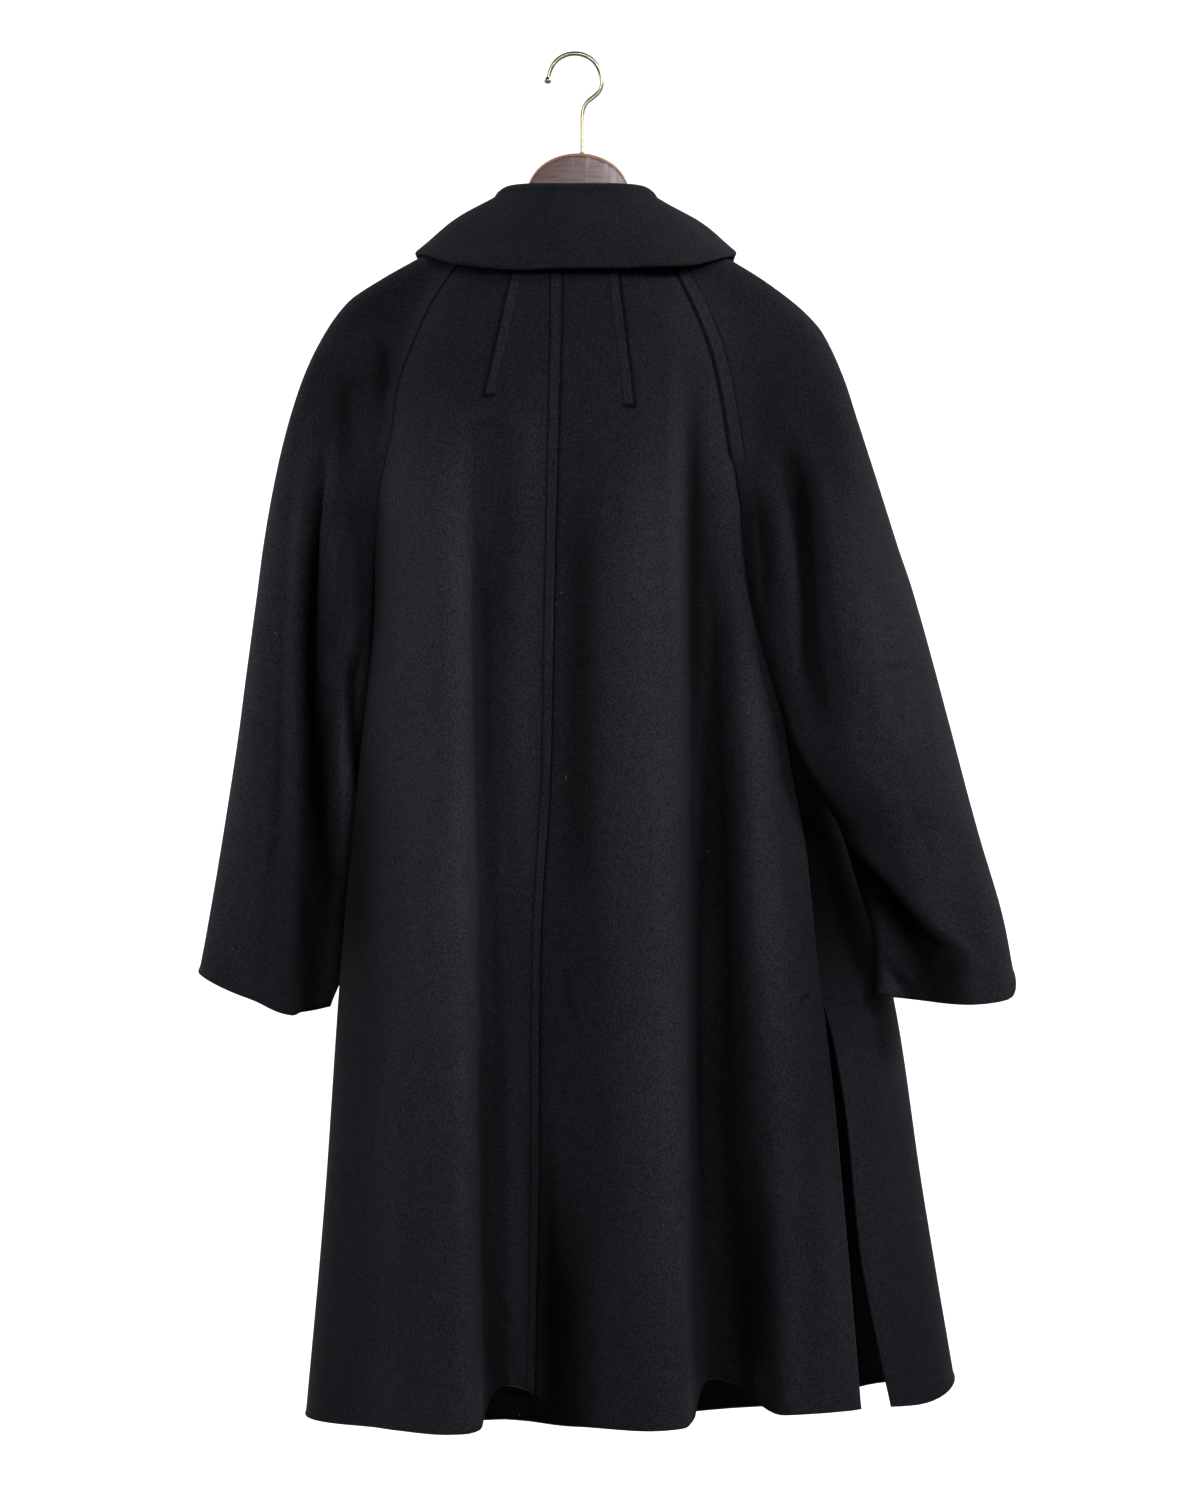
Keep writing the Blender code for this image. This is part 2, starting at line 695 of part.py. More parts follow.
def make_darts(cloth):
    """Lapped tucks below the back neck, laid on the panels' outer points."""
    for side in SIGNS:
        dart = dict(zip(DARTS["columns"], DARTS[side]))
        along = np.linspace(0, 1, DART_ROWS)[:, None]
        sideways = np.array([[-DART_WIDTH / 2, 0, DART_WIDTH / 2]])
        z = blend(dart["top_z"], dart["low_z"], along) + 0 * sideways
        x = blend(dart["top_x"], dart["low_x"], along) + sideways
        angle = angle_at(x, z, "back")
        points = np.stack([*body_point(angle, z), z], axis=-1)
        normals = unit(np.cross(np.gradient(points, axis=0), np.gradient(points, axis=1)))
        normals *= np.where(normals[..., 1:2] > 0, -1, 1)
        low = points + normals * (WALL / 2 + SEAT_GAP)
        wall(f"neck_dart_{side}", low + normals * DART_WALL, low, cloth)


def neck_ring(grids):
    """Neck edge of the panels from the left front round the back to the right front."""
    ends = {}
    for side, sign in SIGNS.items():
        edge = grids[f"front_{side}"]["points"][0]
        ends[side] = edge[sign * (edge[:, 0] - COLLAR_MID) > 0]
    left = [
        ends["left"][::-1],
        grids["sleeve_front_left"]["points"][0],
        grids["sleeve_back_left"]["points"][0, ::-1],
        grids["back_left"]["points"][0],
    ]
    right = [
        grids["back_right"]["points"][0, ::-1],
        grids["sleeve_back_right"]["points"][0],
        grids["sleeve_front_right"]["points"][0, ::-1],
        ends["right"],
    ]
    return np.concatenate(left + right)


def make_collar(grids, cloth):
    ring = neck_ring(grids)
    angle = np.linspace(-COLLAR_END, COLLAR_END, COLLAR_COLUMNS + 1)
    sign, turn = np.sign(angle), np.abs(angle)
    ring_angle = np.degrees(np.arctan2(ring[:, 0] - COLLAR_MID, -ring[:, 1]))
    order = np.argsort(ring_angle)
    base = np.stack([np.interp(angle, ring_angle[order], ring[order, i]) for i in range(3)], axis=-1)
    base[:, 2] += WALL / 2 + 3 * SEAT_GAP
    size = {name: read(COLLAR, name, turn) for name in COLLAR["columns"][1:]}
    roll = np.stack([COLLAR_MID + sign * size["roll_out"], size["roll_back"], size["roll_z"]], axis=-1)
    fall = np.stack([COLLAR_MID + sign * size["fall_out"], size["fall_back"], size["fall_z"]], axis=-1)
    out = np.stack([fall[:, 0] - roll[:, 0], fall[:, 1] - roll[:, 1], 0 * turn], axis=-1)
    out = unit(out)
    up = np.array([0.0, 0.0, 1.0])
    stand_top = roll - ROLL_RADIUS * out - ROLL_RADIUS * up
    fall_top = roll + ROLL_RADIUS * out - ROLL_RADIUS * up
    rows = [blend(base, stand_top, t) for t in np.linspace(0, 1, STAND_ROWS + 1)[:-1]]
    for t in np.linspace(0, np.pi, ROLL_ROWS + 1):
        rows.append(roll - ROLL_RADIUS * up + ROLL_RADIUS * (np.sin(t) * up - np.cos(t) * out))
    for t in np.linspace(0, 1, FALL_ROWS + 1)[1:]:
        rows.append(blend(fall_top, fall, t) + COLLAR_BOW * np.sin(np.pi * t) * (out + up))
    points = np.stack(rows)
    normals = unit(np.cross(np.gradient(points, axis=1), np.gradient(points, axis=0)))
    if (normals[-1] * out).sum() < 0:
        normals = -normals
    half = normals * COLLAR_WALL / 2
    wall("collar", points + half, points - half, cloth)


def make_buttons(material):
    """Discs in two rows, each set on the outer face of the right front by its own tilt."""
    number = 0
    rim = np.linspace(0, 2 * np.pi, BUTTON_SIDES, endpoint=False)
    for level in BUTTON_LEVELS:
        for spread in (-BUTTON_SPREAD, BUTTON_SPREAD):
            number += 1
            x = read(CENTRE, "front", np.array(level)) + spread
            spots = np.c_[x + BUTTON_RADIUS * np.cos(rim), level + BUTTON_RADIUS * np.sin(rim)]
            spots = np.r_[spots, [[x, level]]]
            _, y = body_point(angle_at(spots[:, 0], spots[:, 1], "front"), spots[:, 1])
            plane = np.c_[spots, np.ones(len(spots))]
            fit = np.linalg.lstsq(plane, y, rcond=None)[0]
            stand_off = (y - plane @ fit).max() + LAP_OUT + WALL / 2
            normal = unit(np.array([-fit[0], 1.0, -fit[1]]))
            seat = np.array([x, fit @ [x, level, 1.0] + stand_off, level])
            seat = seat + normal * (SEAT_GAP + BUTTON_DEPTH / 2)
            bpy.ops.mesh.primitive_cylinder_add(
                vertices=BUTTON_SIDES, radius=BUTTON_RADIUS * MM, depth=BUTTON_DEPTH * MM, location=seat * MM
            )
            button = bpy.context.object
            button.name = f"button_{number}"
            button.rotation_mode = "QUATERNION"
            axis = np.cross([0.0, 0.0, 1.0], normal)
            half_cosine = np.sqrt((1 + normal[2]) / 2)
            button.rotation_quaternion = (half_cosine, *(axis / (2 * half_cosine)))
            button.data.materials.append(material)
            bevel = button.modifiers.new("rim", "BEVEL")
            bevel.width = BUTTON_RIM * MM
            bevel.segments = 1


def make_hanger(grids, wood):
    """Outline in the XZ plane: arms under the shoulder edges, an arch at the middle."""
    arms = {}
    for side in SIGNS:
        grid = grids[f"sleeve_back_{side}"]
        edge, normal = grid["points"][:, -1], grid["normals"][:, -1].copy()
        normal[:, 1] = 0
        under = edge - unit(normal) * (WALL / 2 + ARM_SEAT)
        arms[side] = under[np.abs(edge[:, 0]) < ARM_TIP_X][:, [0, 2]]
    turn = np.linspace(np.pi, 0, ARCH_STEPS + 1)
    arch_base = HANGER_TOP - ARCH_HEIGHT
    arch = np.c_[HANGER_MID + ARCH_HALF * np.cos(turn), arch_base + ARCH_HEIGHT * np.sin(turn)]
    lower = []
    for side, order in (("right", slice(None, 0, -1)), ("left", slice(1, None))):
        arm = arms[side][order]
        share = np.abs(arm[:, :1] - HANGER_MID) / ARM_TIP_X
        drop = blend(*ARM_DEPTHS, share)
        lean = np.c_[-np.sign(arm[:, :1]) * ARM_LEAN * share, -drop]
        lower.append(arm + lean)
    middle = np.array([[HANGER_MID, HANGER_TOP - HUB_DEPTH]])
    flanks = [np.array([[HANGER_MID + sign * HUB_FLANK[0], HUB_FLANK[1]]]) for sign in SIGNS.values()]
    upper = [arms["left"][::-1], flanks[0], arch, flanks[1], arms["right"]]
    outline = np.concatenate([*upper, lower[0], middle, lower[1]])
    before, after = np.roll(outline, 1, axis=0), np.roll(outline, -1, axis=0)
    tangent = unit(after - before)
    inset = outline + HANGER_EDGE * np.c_[tangent[:, 1], -tangent[:, 0]]
    shapes = (inset, outline, outline, inset)
    levels = (-1.0, HANGER_EDGE / HANGER_HALF_DEPTH - 1, 1 - HANGER_EDGE / HANGER_HALF_DEPTH, 1.0)
    count = len(outline)
    vertices = []
    for shape, level in zip(shapes, levels):
        vertices.append(np.c_[shape[:, 0], np.full(count, level * HANGER_HALF_DEPTH), shape[:, 1]])
    faces = [tuple(range(count))[::-1], tuple(range(3 * count, 4 * count))]
    for ring in range(3):
        for i in range(count):
            a, b = ring * count + i, ring * count + (i + 1) % count
            faces.append((a, b, b + count, a + count))
    make_object("hanger", np.concatenate(vertices), faces, wood)


def make_hook(brass):
    """Round wire: open circle, bent back to the stem, with a small ball at its free end."""
    turn = np.radians(np.linspace(*HOOK_TURN, HOOK_STEPS))
    circle = [(HOOK_MID[0] + HOOK_RADIUS * np.cos(t), HOOK_MID[1] + HOOK_RADIUS * np.sin(t)) for t in turn]
    tip_x, tip_z = circle[0]
    ball = [(tip_x + x, tip_z + z) for x, z, _ in HOOK_BALL]
    foot = [(HOOK_NECK[-1][0], HANGER_TOP + SEAT_GAP)]
    path = ball + circle[1:] + list(HOOK_NECK) + foot
    sizes = [size for _, _, size in HOOK_BALL] + [1.0] * (len(path) - len(HOOK_BALL))
    curve = bpy.data.curves.new("hook", "CURVE")
    curve.dimensions = "3D"
    curve.bevel_depth = WIRE_RADIUS * MM
    curve.bevel_resolution = 3
    curve.use_fill_caps = True
    spline = curve.splines.new("POLY")
    spline.points.add(len(path) - 1)
    for point, (x, z), size in zip(spline.points, path, sizes):
        point.co = (x * MM, 0.0, z * MM, 1.0)
        point.radius = size
    curve.materials.append(brass)
    hook = bpy.data.objects.new("hook", curve)
    bpy.context.collection.objects.link(hook)


def main():
    for old in list(bpy.data.objects):
        bpy.data.objects.remove(old, do_unlink=True)
    cloth = make_material("wool_cloth", (0.012, 0.012, 0.014), 0.9)
    lining = make_material("lining_cloth", (0.006, 0.006, 0.007), 0.45)
    horn = make_material("button_horn", (0.015, 0.013, 0.012), 0.3)
    wood = make_material("hanger_wood", (0.16, 0.07, 0.05), 0.4)
    brass = make_material("hook_brass", (0.72, 0.6, 0.38), 0.25, 1.0)
    grids = cloth_grids()
    sew(grids)
    make_cloth(grids, cloth, lining)
    make_darts(cloth)
    make_collar(grids, cloth)
    make_buttons(horn)
    make_hanger(grids, wood)
    make_hook(brass)


main()
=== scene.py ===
import bpy
import numpy as np
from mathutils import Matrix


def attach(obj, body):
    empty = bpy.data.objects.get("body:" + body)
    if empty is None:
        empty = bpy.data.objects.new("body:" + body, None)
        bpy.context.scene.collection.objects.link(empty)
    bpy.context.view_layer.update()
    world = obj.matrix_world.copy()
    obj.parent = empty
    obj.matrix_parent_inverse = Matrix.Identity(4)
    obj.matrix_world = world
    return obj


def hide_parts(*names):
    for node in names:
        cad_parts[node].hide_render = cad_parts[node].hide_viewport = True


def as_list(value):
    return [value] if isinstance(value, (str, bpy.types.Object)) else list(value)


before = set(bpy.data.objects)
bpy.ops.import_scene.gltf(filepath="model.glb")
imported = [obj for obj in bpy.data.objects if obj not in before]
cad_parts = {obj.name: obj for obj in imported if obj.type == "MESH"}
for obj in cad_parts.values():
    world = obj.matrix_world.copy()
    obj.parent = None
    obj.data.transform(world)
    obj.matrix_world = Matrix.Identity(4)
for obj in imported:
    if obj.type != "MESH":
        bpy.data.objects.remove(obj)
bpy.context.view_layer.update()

# Lengths below are millimetres and angles degrees, measured from the inside of the hook's crown.
# The coat's back faces -Y and its right side is at +X.
mm = 0.001
signs = {"left": -1.0, "right": 1.0}

# The cut of the coat: as in the solids, but with narrower vents and higher arches along the hem
cut = {
    "neckZ": -164.0,
    "underarmZ": {"left": -530.0, "right": -605.0},
    "raglanTurnZ": {"left": -350.0, "right": -398.0},
    "hemLookZ": -1210.0,
    "valleyLift": 0.95,
    "backNeckDrop": 8.0,
    "frontNeckDrop": 68.0,
    "frontNeckShare": 0.78,
    "crowding": 1.3,
    "yokeRows": 11,
    "skirtRows": 16,
    "cuffRows": 12,
    "bodyMiddle": (20.0, 0.0),
    "sleeveMiddle": {"left": (-150.0, 20.0), "right": (150.0, -20.0)},
}
bodyTable = {
    "columns": ("z", "left", "right", "back", "front", "power"),
    "rows": (
        (-146, -87, 78, 70, 66, 2.0),
        (-165, -100, 90, 76, 74, 2.0),
        (-190, -126, 106, 84, 82, 2.1),
        (-230, -150, 130, 92, 90, 2.2),
        (-270, -164, 144, 98, 95, 2.3),
        (-343, -176, 158, 105, 99, 2.4),
        (-410, -180, 168, 109, 101, 2.5),
        (-480, -180, 178, 112, 102, 2.5),
        (-630, -193, 214, 117, 106, 2.5),
        (-720, -202, 246, 120, 108, 2.5),
        (-843, -213, 283, 124, 110, 2.5),
        (-1014, -225, 309, 128, 112, 2.5),
        (-1250, -245, 348, 132, 114, 2.5),
    ),
}
centreTable = {
    "columns": ("z", "back", "front", "lap"),
    "rows": (
        (-160, -12, 2, 34),
        (-228, -13, 6, 50),
        (-320, -15, 14, 82),
        (-480, -19, 30, 85),
        (-634, -22, 54, 85),
        (-805, -31, 80, 85),
        (-985, -33, 106, 85),
        (-1250, -37, 136, 85),
    ),
}
raglanTable = {
    "columns": ("z", "leftback", "rightback", "leftfront", "rightfront"),
    "rows": (
        (-140, -66, 52, -66, 52),
        (-160, -79, 63, -78, 62),
        (-190, -103, 82, -104, 86),
        (-230, -130, 103, -128, 108),
        (-270, -148, 119, -146, 124),
        (-301, -159, 127, -156, 134),
        (-343, -165, 134, -163, 145),
        (-410, -172, 144, -170, 156),
    ),
}
sideTable = {
    "columns": ("z", "left", "right", "leftVent", "rightVent"),
    "rows": (
        (-480, -97, 71, 0, 0),
        (-605, -99.5, 67.5, 0, 0),
        (-700, -101, 65, 0, 0),
        (-843, -103, 61, 0, 0),
        (-852, -103, 61.1, 0, 0.5),
        (-880, -103, 61.2, -0.05, 1.5),
        (-960, -103, 61.5, -0.05, 2.4),
        (-1046, -103.3, 61.4, -0.05, 2.5),
        (-1165, -103.7, 61.2, -0.05, 4.8),
        (-1250, -104, 61, -0.05, 7.0),
    ),
}
hemTable = {
    "columns": ("angle", "z"),
    "rows": (
        (-245, -1230), (-200, -1242), (-150, -1256), (-120, -1240), (-104, -1229),
        (-85, -1220), (-45, -1211), (0, -1207), (45, -1199), (62, -1197),
        (72, -1199), (90, -1187), (120, -1222), (150, -1228), (190, -1242),
    ),
}
sleeveTable = {
    "columns": ("z", "outer", "mid", "fullback", "fullfront", "inner", "clear"),
    "left": (
        (-154, -84, 0, 36, 36, -97, 0),
        (-187, -146, 0, 42, 42, -97, 0),
        (-206, -180, 0, 44, 44, -97, 0),
        (-223, -205, 0, 44, 44, -97, 0),
        (-258, -230, 0, 44, 44, -97, 0),
        (-304, -251, 7, 46, 46, -97, 0),
        (-368, -269, 13, 54, 52, -97, 0),
        (-443, -283, 20, 64, 60, -97, 0),
        (-480, -288, 24, 66, 62, -97, 0),
        (-530, -295, 29, 66, 62, -98.5, 3.4),
        (-570, -301, 33, 66, 62, -99, 8),
        (-630, -310, 38, 64, 60, -100, 8),
        (-796, -338, 46, 58, 56, -101, 8),
        (-870, -353, 48, 56, 54, -101, 34),
    ),
    "right": (
        (-154, 80, 0, 36, 36, 76, 0),
        (-186, 138, 0, 42, 42, 76, 0),
        (-207, 172, 0, 44, 44, 76, 0),
        (-235, 207, 0, 44, 44, 76, 0),
        (-252, 221, 0, 44, 44, 76, 0),
        (-293, 239, -7, 46, 46, 76, 0),
        (-329, 250, -12, 48, 47, 76, 0),
        (-407, 274, -22, 60, 56, 76, 0),
        (-443, 285, -26, 64, 60, 76, 0),
        (-480, 297, -31, 66, 62, 76, 0),
        (-605, 330, -46, 68, 62, 69, 3.4),
        (-645, 340, -51, 67, 62, 70, 8),
        (-699, 354, -58, 66, 60, 76, 9),
        (-775, 375, -68, 62, 58, 76, 9),
        (-820, 383, -74, 60, 56, 73, 9),
        (-870, 393, -79, 58, 54, 70, 9),
    ),
}
cuffTable = {
    "columns": ("across", "leftback", "rightback", "leftfront", "rightfront"),
    "rows": (
        (0.0, -860, -838, -860, -838),
        (0.2, -864, -842, -858, -840),
        (0.5, -849, -846, -850, -840),
        (0.8, -833, -842, -838, -836),
        (1.0, -826, -821, -826, -821),
    ),
}
sleeveShape = {
    "ridgeRise": 10.0,
    "shoulderReach": 0.55,
    "pocketReach": 0.85,
    "seamShare": 0.12,
    "pocketStartZ": -270.0,
    "partLength": 50.0,
    "pocketWay": {"leftback": 38.0, "leftfront": 60.0, "rightback": 62.0, "rightfront": 45.0},
}

# Large folds: a line in x and z, the levels where each starts, is full, begins to fade and ends, its
# reach to each side, and its height (a ridge is positive, a valley negative)
foldColumns = (
    "topX", "topZ", "lowX", "lowZ", "start", "full", "hold", "end", "toLeft", "toRight", "rise",
)
pastHem = (-1300, -1400)  # for a fold that is still full at the hem
faceFade = (0.05, 0.45)  # folds fade round the sides, over these cosines of the angle
backFolds = (
    (-114, -400, -98, -1221, -380, -1150, *pastHem, 95, 24, 22),
    (-78, -500, -64, -1221, -560, -1210, *pastHem, 30, 70, -32),
    (57, -400, 88, -1221, -420, -1150, *pastHem, 90, 22, 24),
    (113, -400, 118, -1221, -430, -1180, *pastHem, 26, 60, -30),
    (140, -368, 236, -1221, -420, -900, *pastHem, 60, 22, 10),
)
# Softer folds that lead into the ones above from higher up, and two hollows beside them at the hem
upperFolds = (
    (-130, -330, -124, -1221, -290, -430, *pastHem, 55, 42, 10),
    (-84, -330, -70, -1221, -290, -520, -820, -1160, 24, 104, -15),
    (46, -300, 60, -1221, -270, -430, *pastHem, 70, 52, 12),
    (106, -300, 112, -1221, -240, -420, -850, -1180, 26, 48, -19),
    (142, -380, 188, -1221, -380, -560, *pastHem, 34, 50, 9),
    (-44, -900, -26, -1221, -900, -1180, *pastHem, 36, 30, -14),
    (144, -950, 150, -1221, -950, -1180, *pastHem, 34, 32, -14),
)
frontFolds = (
    (-130, -500, -160, -1230, -480, -1150, *pastHem, 34, 80, 20),
    (-95, -700, -100, -1230, -700, -1200, *pastHem, 50, 34, -22),
    (-60, -700, -40, -1230, -700, -1200, *pastHem, 40, 50, 14),
    (165, -600, 275, -1230, -640, -1150, *pastHem, 30, 45, 14),
)
sleeveFolds = {
    "leftback": (
        (-214, -290, -256, -841, -280, -420, -800, -1000, 34, 16, 8),
        (-206, -290, -228, -800, -290, -430, -600, -780, 14, 26, -14),
        (-192, -531, -190, -660, -500, -560, -640, -720, 16, 16, -10),
    ),
    "leftfront": (
        (-225, -300, -270, -841, -300, -450, -800, -1000, 20, 34, 8),
        (-212, -300, -235, -800, -320, -460, -600, -780, 14, 26, -10),
    ),
    "rightback": (
        (193, -350, 212, -610, -340, -420, -560, -680, 18, 26, -4),
        (214, -350, 240, -610, -340, -430, -560, -700, 20, 40, 6),
        (236, -300, 268, -640, -260, -400, -580, -740, 78, 45, 14),
    ),
    "rightfront": (
        (205, -330, 300, -820, -320, -450, -700, -860, 24, 40, -10),
        (235, -330, 330, -820, -330, -480, -760, -900, 30, 24, 7),
    ),
}
# The flap of cloth over the right cuff: the line of its slanting edge, how far the sleeve steps in
# below it and swells above it, where it ends, and the painted shade in the recess under it
flap = {
    "columns": ("x", "z"),
    "rows": ((160, -598), (194, -640), (234, -694), (273, -735), (309, -775), (340, -798)),
    "depth": 42.0,
    "roll": 10.0,
    "bulge": 26.0,
    "reach": 110.0,
    "fade": (280.0, 350.0),
    "seamShares": (0.45, 0.25),
    "recess": (24.0, 62.0),
    "recessShade": 0.9,
}

# Painted light and shade over broad stretches: rows as for the folds, but the last value is the
# share by which the cloth is painted paler, as painted light, where it is positive, and darker, as
# painted shade, where it is negative
paintedFoldShade = {
    "back": (
        (-112, -330, -106, -1221, -280, -420, -620, -1200, 78, 44, 0.68),
        (-62, -560, -56, -1221, -480, -760, -1000, -1200, 30, 34, 0.70),
        (-190, -600, -196, -760, -560, -640, -760, -860, 26, 30, -0.42),
        (116, -760, 118, -1100, -720, -800, -1040, -1180, 20, 20, 0.40),
        (205, -740, 215, -1000, -720, -780, -960, -1060, 24, 20, -0.25),
        (-36, -330, -44, -700, -290, -380, -560, -760, 26, 18, 0.45),
        (4, -420, 2, -800, -380, -480, -640, -800, 18, 20, -0.35),
        (64, -400, 66, -1221, -330, -460, -900, -1300, 50, 36, 0.50),
        (130, -300, 136, -560, -270, -340, -460, -640, 20, 18, 0.40),
        (150, -520, 168, -900, -520, -600, -760, -950, 28, 24, 0.40),
        (-14, -1000, -10, -1221, -940, -1130, *pastHem, 36, 40, -0.88),
        (152, -950, 162, -1221, -920, -1100, *pastHem, 32, 30, -0.62),
        (-210, -750, -238, -1221, -600, -720, *pastHem, 30, 72, -0.45),
    ),
    "front": (
        (300, -900, 325, -1221, -850, -960, *pastHem, 90, 60, -0.42),
    ),
    "leftback": (
        (-238, -380, -244, -850, -300, -560, -900, -1100, 15, 22, -0.55),
        (-262, -330, -300, -850, -300, -480, -900, -1100, 56, 38, 0.48),
        (-214, -300, -216, -700, -310, -410, -600, -760, 16, 22, 2.10),
    ),
    "leftfront": (),
    "rightback": (
        (290, -520, 350, -800, -420, -560, -760, -900, 60, 60, 0.12),
        (272, -760, 276, -850, -745, -785, -900, -1100, 24, 26, 0.30),
        (325, -800, 325, -850, -790, -815, -900, -1100, 24, 24, -0.50),
    ),
    "rightfront": (),
}
# Narrower lines of painted shade: rows as for the creases below
paintedShadeLines = {
    "back": (
        (-84, -780, -66, -1420, 2, 10, -0.30),
        (192, -843, 204, -834, 0, 1.6, -0.60),
        (102, -290, 105, -640, 0, 7, -0.50),
    ),
    "front": ((208, -838, 248, -845, 2, 1.6, -0.60),),
    "leftback": (
        (-212, -290, -222, -790, 18, 9, -0.75),
        (-205, -510, -193, -690, 6, 6, -1.60),
    ),
    "leftfront": (),
    "rightback": (
        (190, -340, 202, -570, -3, 11, -0.30),
        (168, -400, 176, -500, 2, 8, -0.22),
        (248, -547, 297, -553, 1, 2.2, -0.35),
        (232, -570, 263, -598, -2, 2.4, -0.25),
    ),
    "rightfront": (),
}

# Creases laid over the folds: from the first point to the second, how far the line bows to
# its left, half its width, and its height (a trough is negative)
creaseColumns = ("topX", "topZ", "lowX", "lowZ", "bow", "width", "rise")
creaseEnds = {"start": (-0.04, 0.32), "stop": (0.68, 1.04)}
creaseLips = {"place": 2.1, "share": 0.28}
creases = {
    "back": (
        (-108, -380, -90, -1260, 3, 9, 2.6),
        (-142, -430, -150, -900, -4, 22, -2.4),
        (-170, -640, -188, -1260, 5, 20, 2.6),
        (-128, -820, -136, -1260, -4, 16, -2.2),
        (-66, -330, -74, -760, 5, 18, -1.6),
        (-44, -560, -52, -1010, -3, 12, 1.3),
        (-30, -900, -12, -1260, 3, 12, -3.0),
        (16, -300, 24, -900, -4, 18, 1.8),
        (2, -330, 6, -470, 2, 6, -0.8),
        (16, -350, 9, -450, -2, 5, -0.7),
        (48, -430, 58, -1000, 4, 16, -1.6),
        (82, -360, 92, -1260, -3, 10, 2.2),
        (112, -340, 128, -900, 3, 13, -2.2),
        (148, -700, 158, -1260, -4, 20, 2.4),
        (184, -820, 206, -1260, 3, 14, -1.8),
        (-11, -812, 5, -868, 2, 3.4, -1.5),
        (-2, -835, 12, -880, -1, 3.0, 0.8),
        (158, -945, 182, -1004, 3, 4.0, -1.4),
        (-74, -1092, -55, -1130, 2, 3.6, -1.5),
        (-60, -1140, -52, -1166, 1, 3.0, -1.0),
        (-120, -560, -98, -592, 2, 4.5, -0.5),
        (30, -640, 62, -668, -2, 4.5, -0.5),
        (-160, -1010, -134, -1042, 2, 5.0, -0.7),
        (60, -1080, 84, -1116, 2, 4.5, -0.7),
    ),
    "front": (
        (-118, -330, -140, -1260, 4, 16, -2.4),
        (-76, -420, -70, -1260, -5, 20, 2.6),
        (-20, -640, 6, -1260, 4, 18, -2.2),
        (96, -700, 132, -1260, -4, 22, 2.2),
        (150, -420, 206, -1000, 5, 18, -2.2),
        (190, -560, 270, -1260, -4, 24, 2.6),
        (228, -830, 256, -1260, 3, 14, -2.0),
        (-150, -700, -128, -745, 2, 4.5, -0.9),
        (176, -900, 204, -936, -2, 4.0, -1.0),
        (60, -520, 96, -548, 2, 5.0, -0.8),
        (-60, -1080, -36, -1112, 2, 4.0, -1.0),
    ),
    "leftback": (
        (-226, -330, -258, -845, 4, 9, 2.4),
        (-212, -290, -222, -790, 18, 9, -8.0),
        (-202, -380, -205, -660, 6, 9, 3.0),
        (-228, -600, -236, -870, 2, 10, 2.0),
        (-208, -520, -193, -690, 5, 8, -8.0),
        (-212, -520, -205, -700, 2, 7, 2.4),
        (-178, -248, -164, -360, -3, 7, -2.6),
        (-192, -262, -180, -400, 3, 9, 1.4),
        (-268, -420, -300, -800, 3, 20, 1.6),
        (-246, -300, -276, -520, -3, 16, -1.4),
        (-300, -560, -318, -790, 2, 14, -1.4),
        (-262, -700, -282, -728, 2, 4, -0.8),
        (-280, -640, -262, -664, -2, 4, -0.6),
        (-214, -735, -240, -768, 2, 5, -1.4),
        (-222, -790, -246, -812, 1, 4, -1.2),
    ),
    "leftfront": (
        (-226, -300, -268, -830, 2, 9, 2.4),
        (-206, -330, -236, -700, -2, 8, -3.0),
        (-284, -450, -312, -820, 3, 18, -1.8),
        (-186, -260, -172, -380, 3, 8, -2.2),
        (-250, -560, -222, -610, 2, 5, -1.6),
        (-262, -650, -230, -690, -2, 5, -1.4),
        (-300, -700, -270, -736, 2, 5, -1.0),
    ),
    "rightback": (
        (189, -345, 203, -590, -3, 10, -3.2),
        (163, -395, 174, -530, 2, 9, -3.2),
        (176, -380, 190, -600, -2, 8, 1.0),
        (222, -330, 262, -640, 4, 16, 1.2),
        (206, -290, 232, -430, -3, 12, -1.4),
        (250, -420, 300, -700, -4, 20, -1.6),
        (232, -520, 262, -556, 3, 3.6, -1.2),
        (246, -548, 254, -606, -2, 3.4, -1.1),
        (262, -536, 288, -544, 2, 3.0, -1.0),
        (268, -590, 292, -606, -2, 3.4, -1.2),
        (276, -566, 284, -600, 2, 3.2, -0.9),
        (300, -640, 330, -772, 3, 14, 1.6),
        (288, -664, 306, -722, -2, 6, -0.8),
        (268, -788, 296, -842, 4, 5.0, -2.6),
        (280, -782, 306, -830, -3, 5.5, 1.8),
        (300, -806, 322, -846, 2, 5.0, -1.6),
        (256, -800, 272, -842, 2, 4.5, -1.6),
        (330, -812, 366, -826, 2, 6.0, -0.8),
    ),
    "rightfront": (
        (206, -330, 292, -800, 3, 12, -2.8),
        (236, -340, 326, -820, -3, 12, 2.2),
        (176, -270, 190, -420, 3, 9, -2.0),
        (270, -560, 236, -604, 2, 5, -1.8),
        (292, -620, 256, -660, -2, 5, -1.6),
        (330, -700, 296, -744, 2, 5, -1.2),
    ),
}

# Sharp fold edges: the same line, its reach to the left and to the right, and its height
ridgeColumns = ("topX", "topZ", "lowX", "lowZ", "toLeft", "toRight", "rise")
ridgeEnds = {"start": (0, 0.22), "stop": (0.97, 1.05)}
ridges = {
    "back": (
        (-107, -390, -97, -880, 34, 22.0, 3.0),
        (-97, -760, -88, -1290, 34, 5.0, 4.0),
        (82, -560, 89, -1270, 30, 5.5, 5.0),
        (-150, -760, -162, -1270, 26, 9, 1.6),
    ),
    "front": (),
    "leftback": (
        (-236, -430, -262, -880, 28, 4.5, 6.0),
        (-226, -560, -238, -850, 9, 5, 2.0),
    ),
    "leftfront": (),
    "rightback": (),
    "rightfront": (),
}


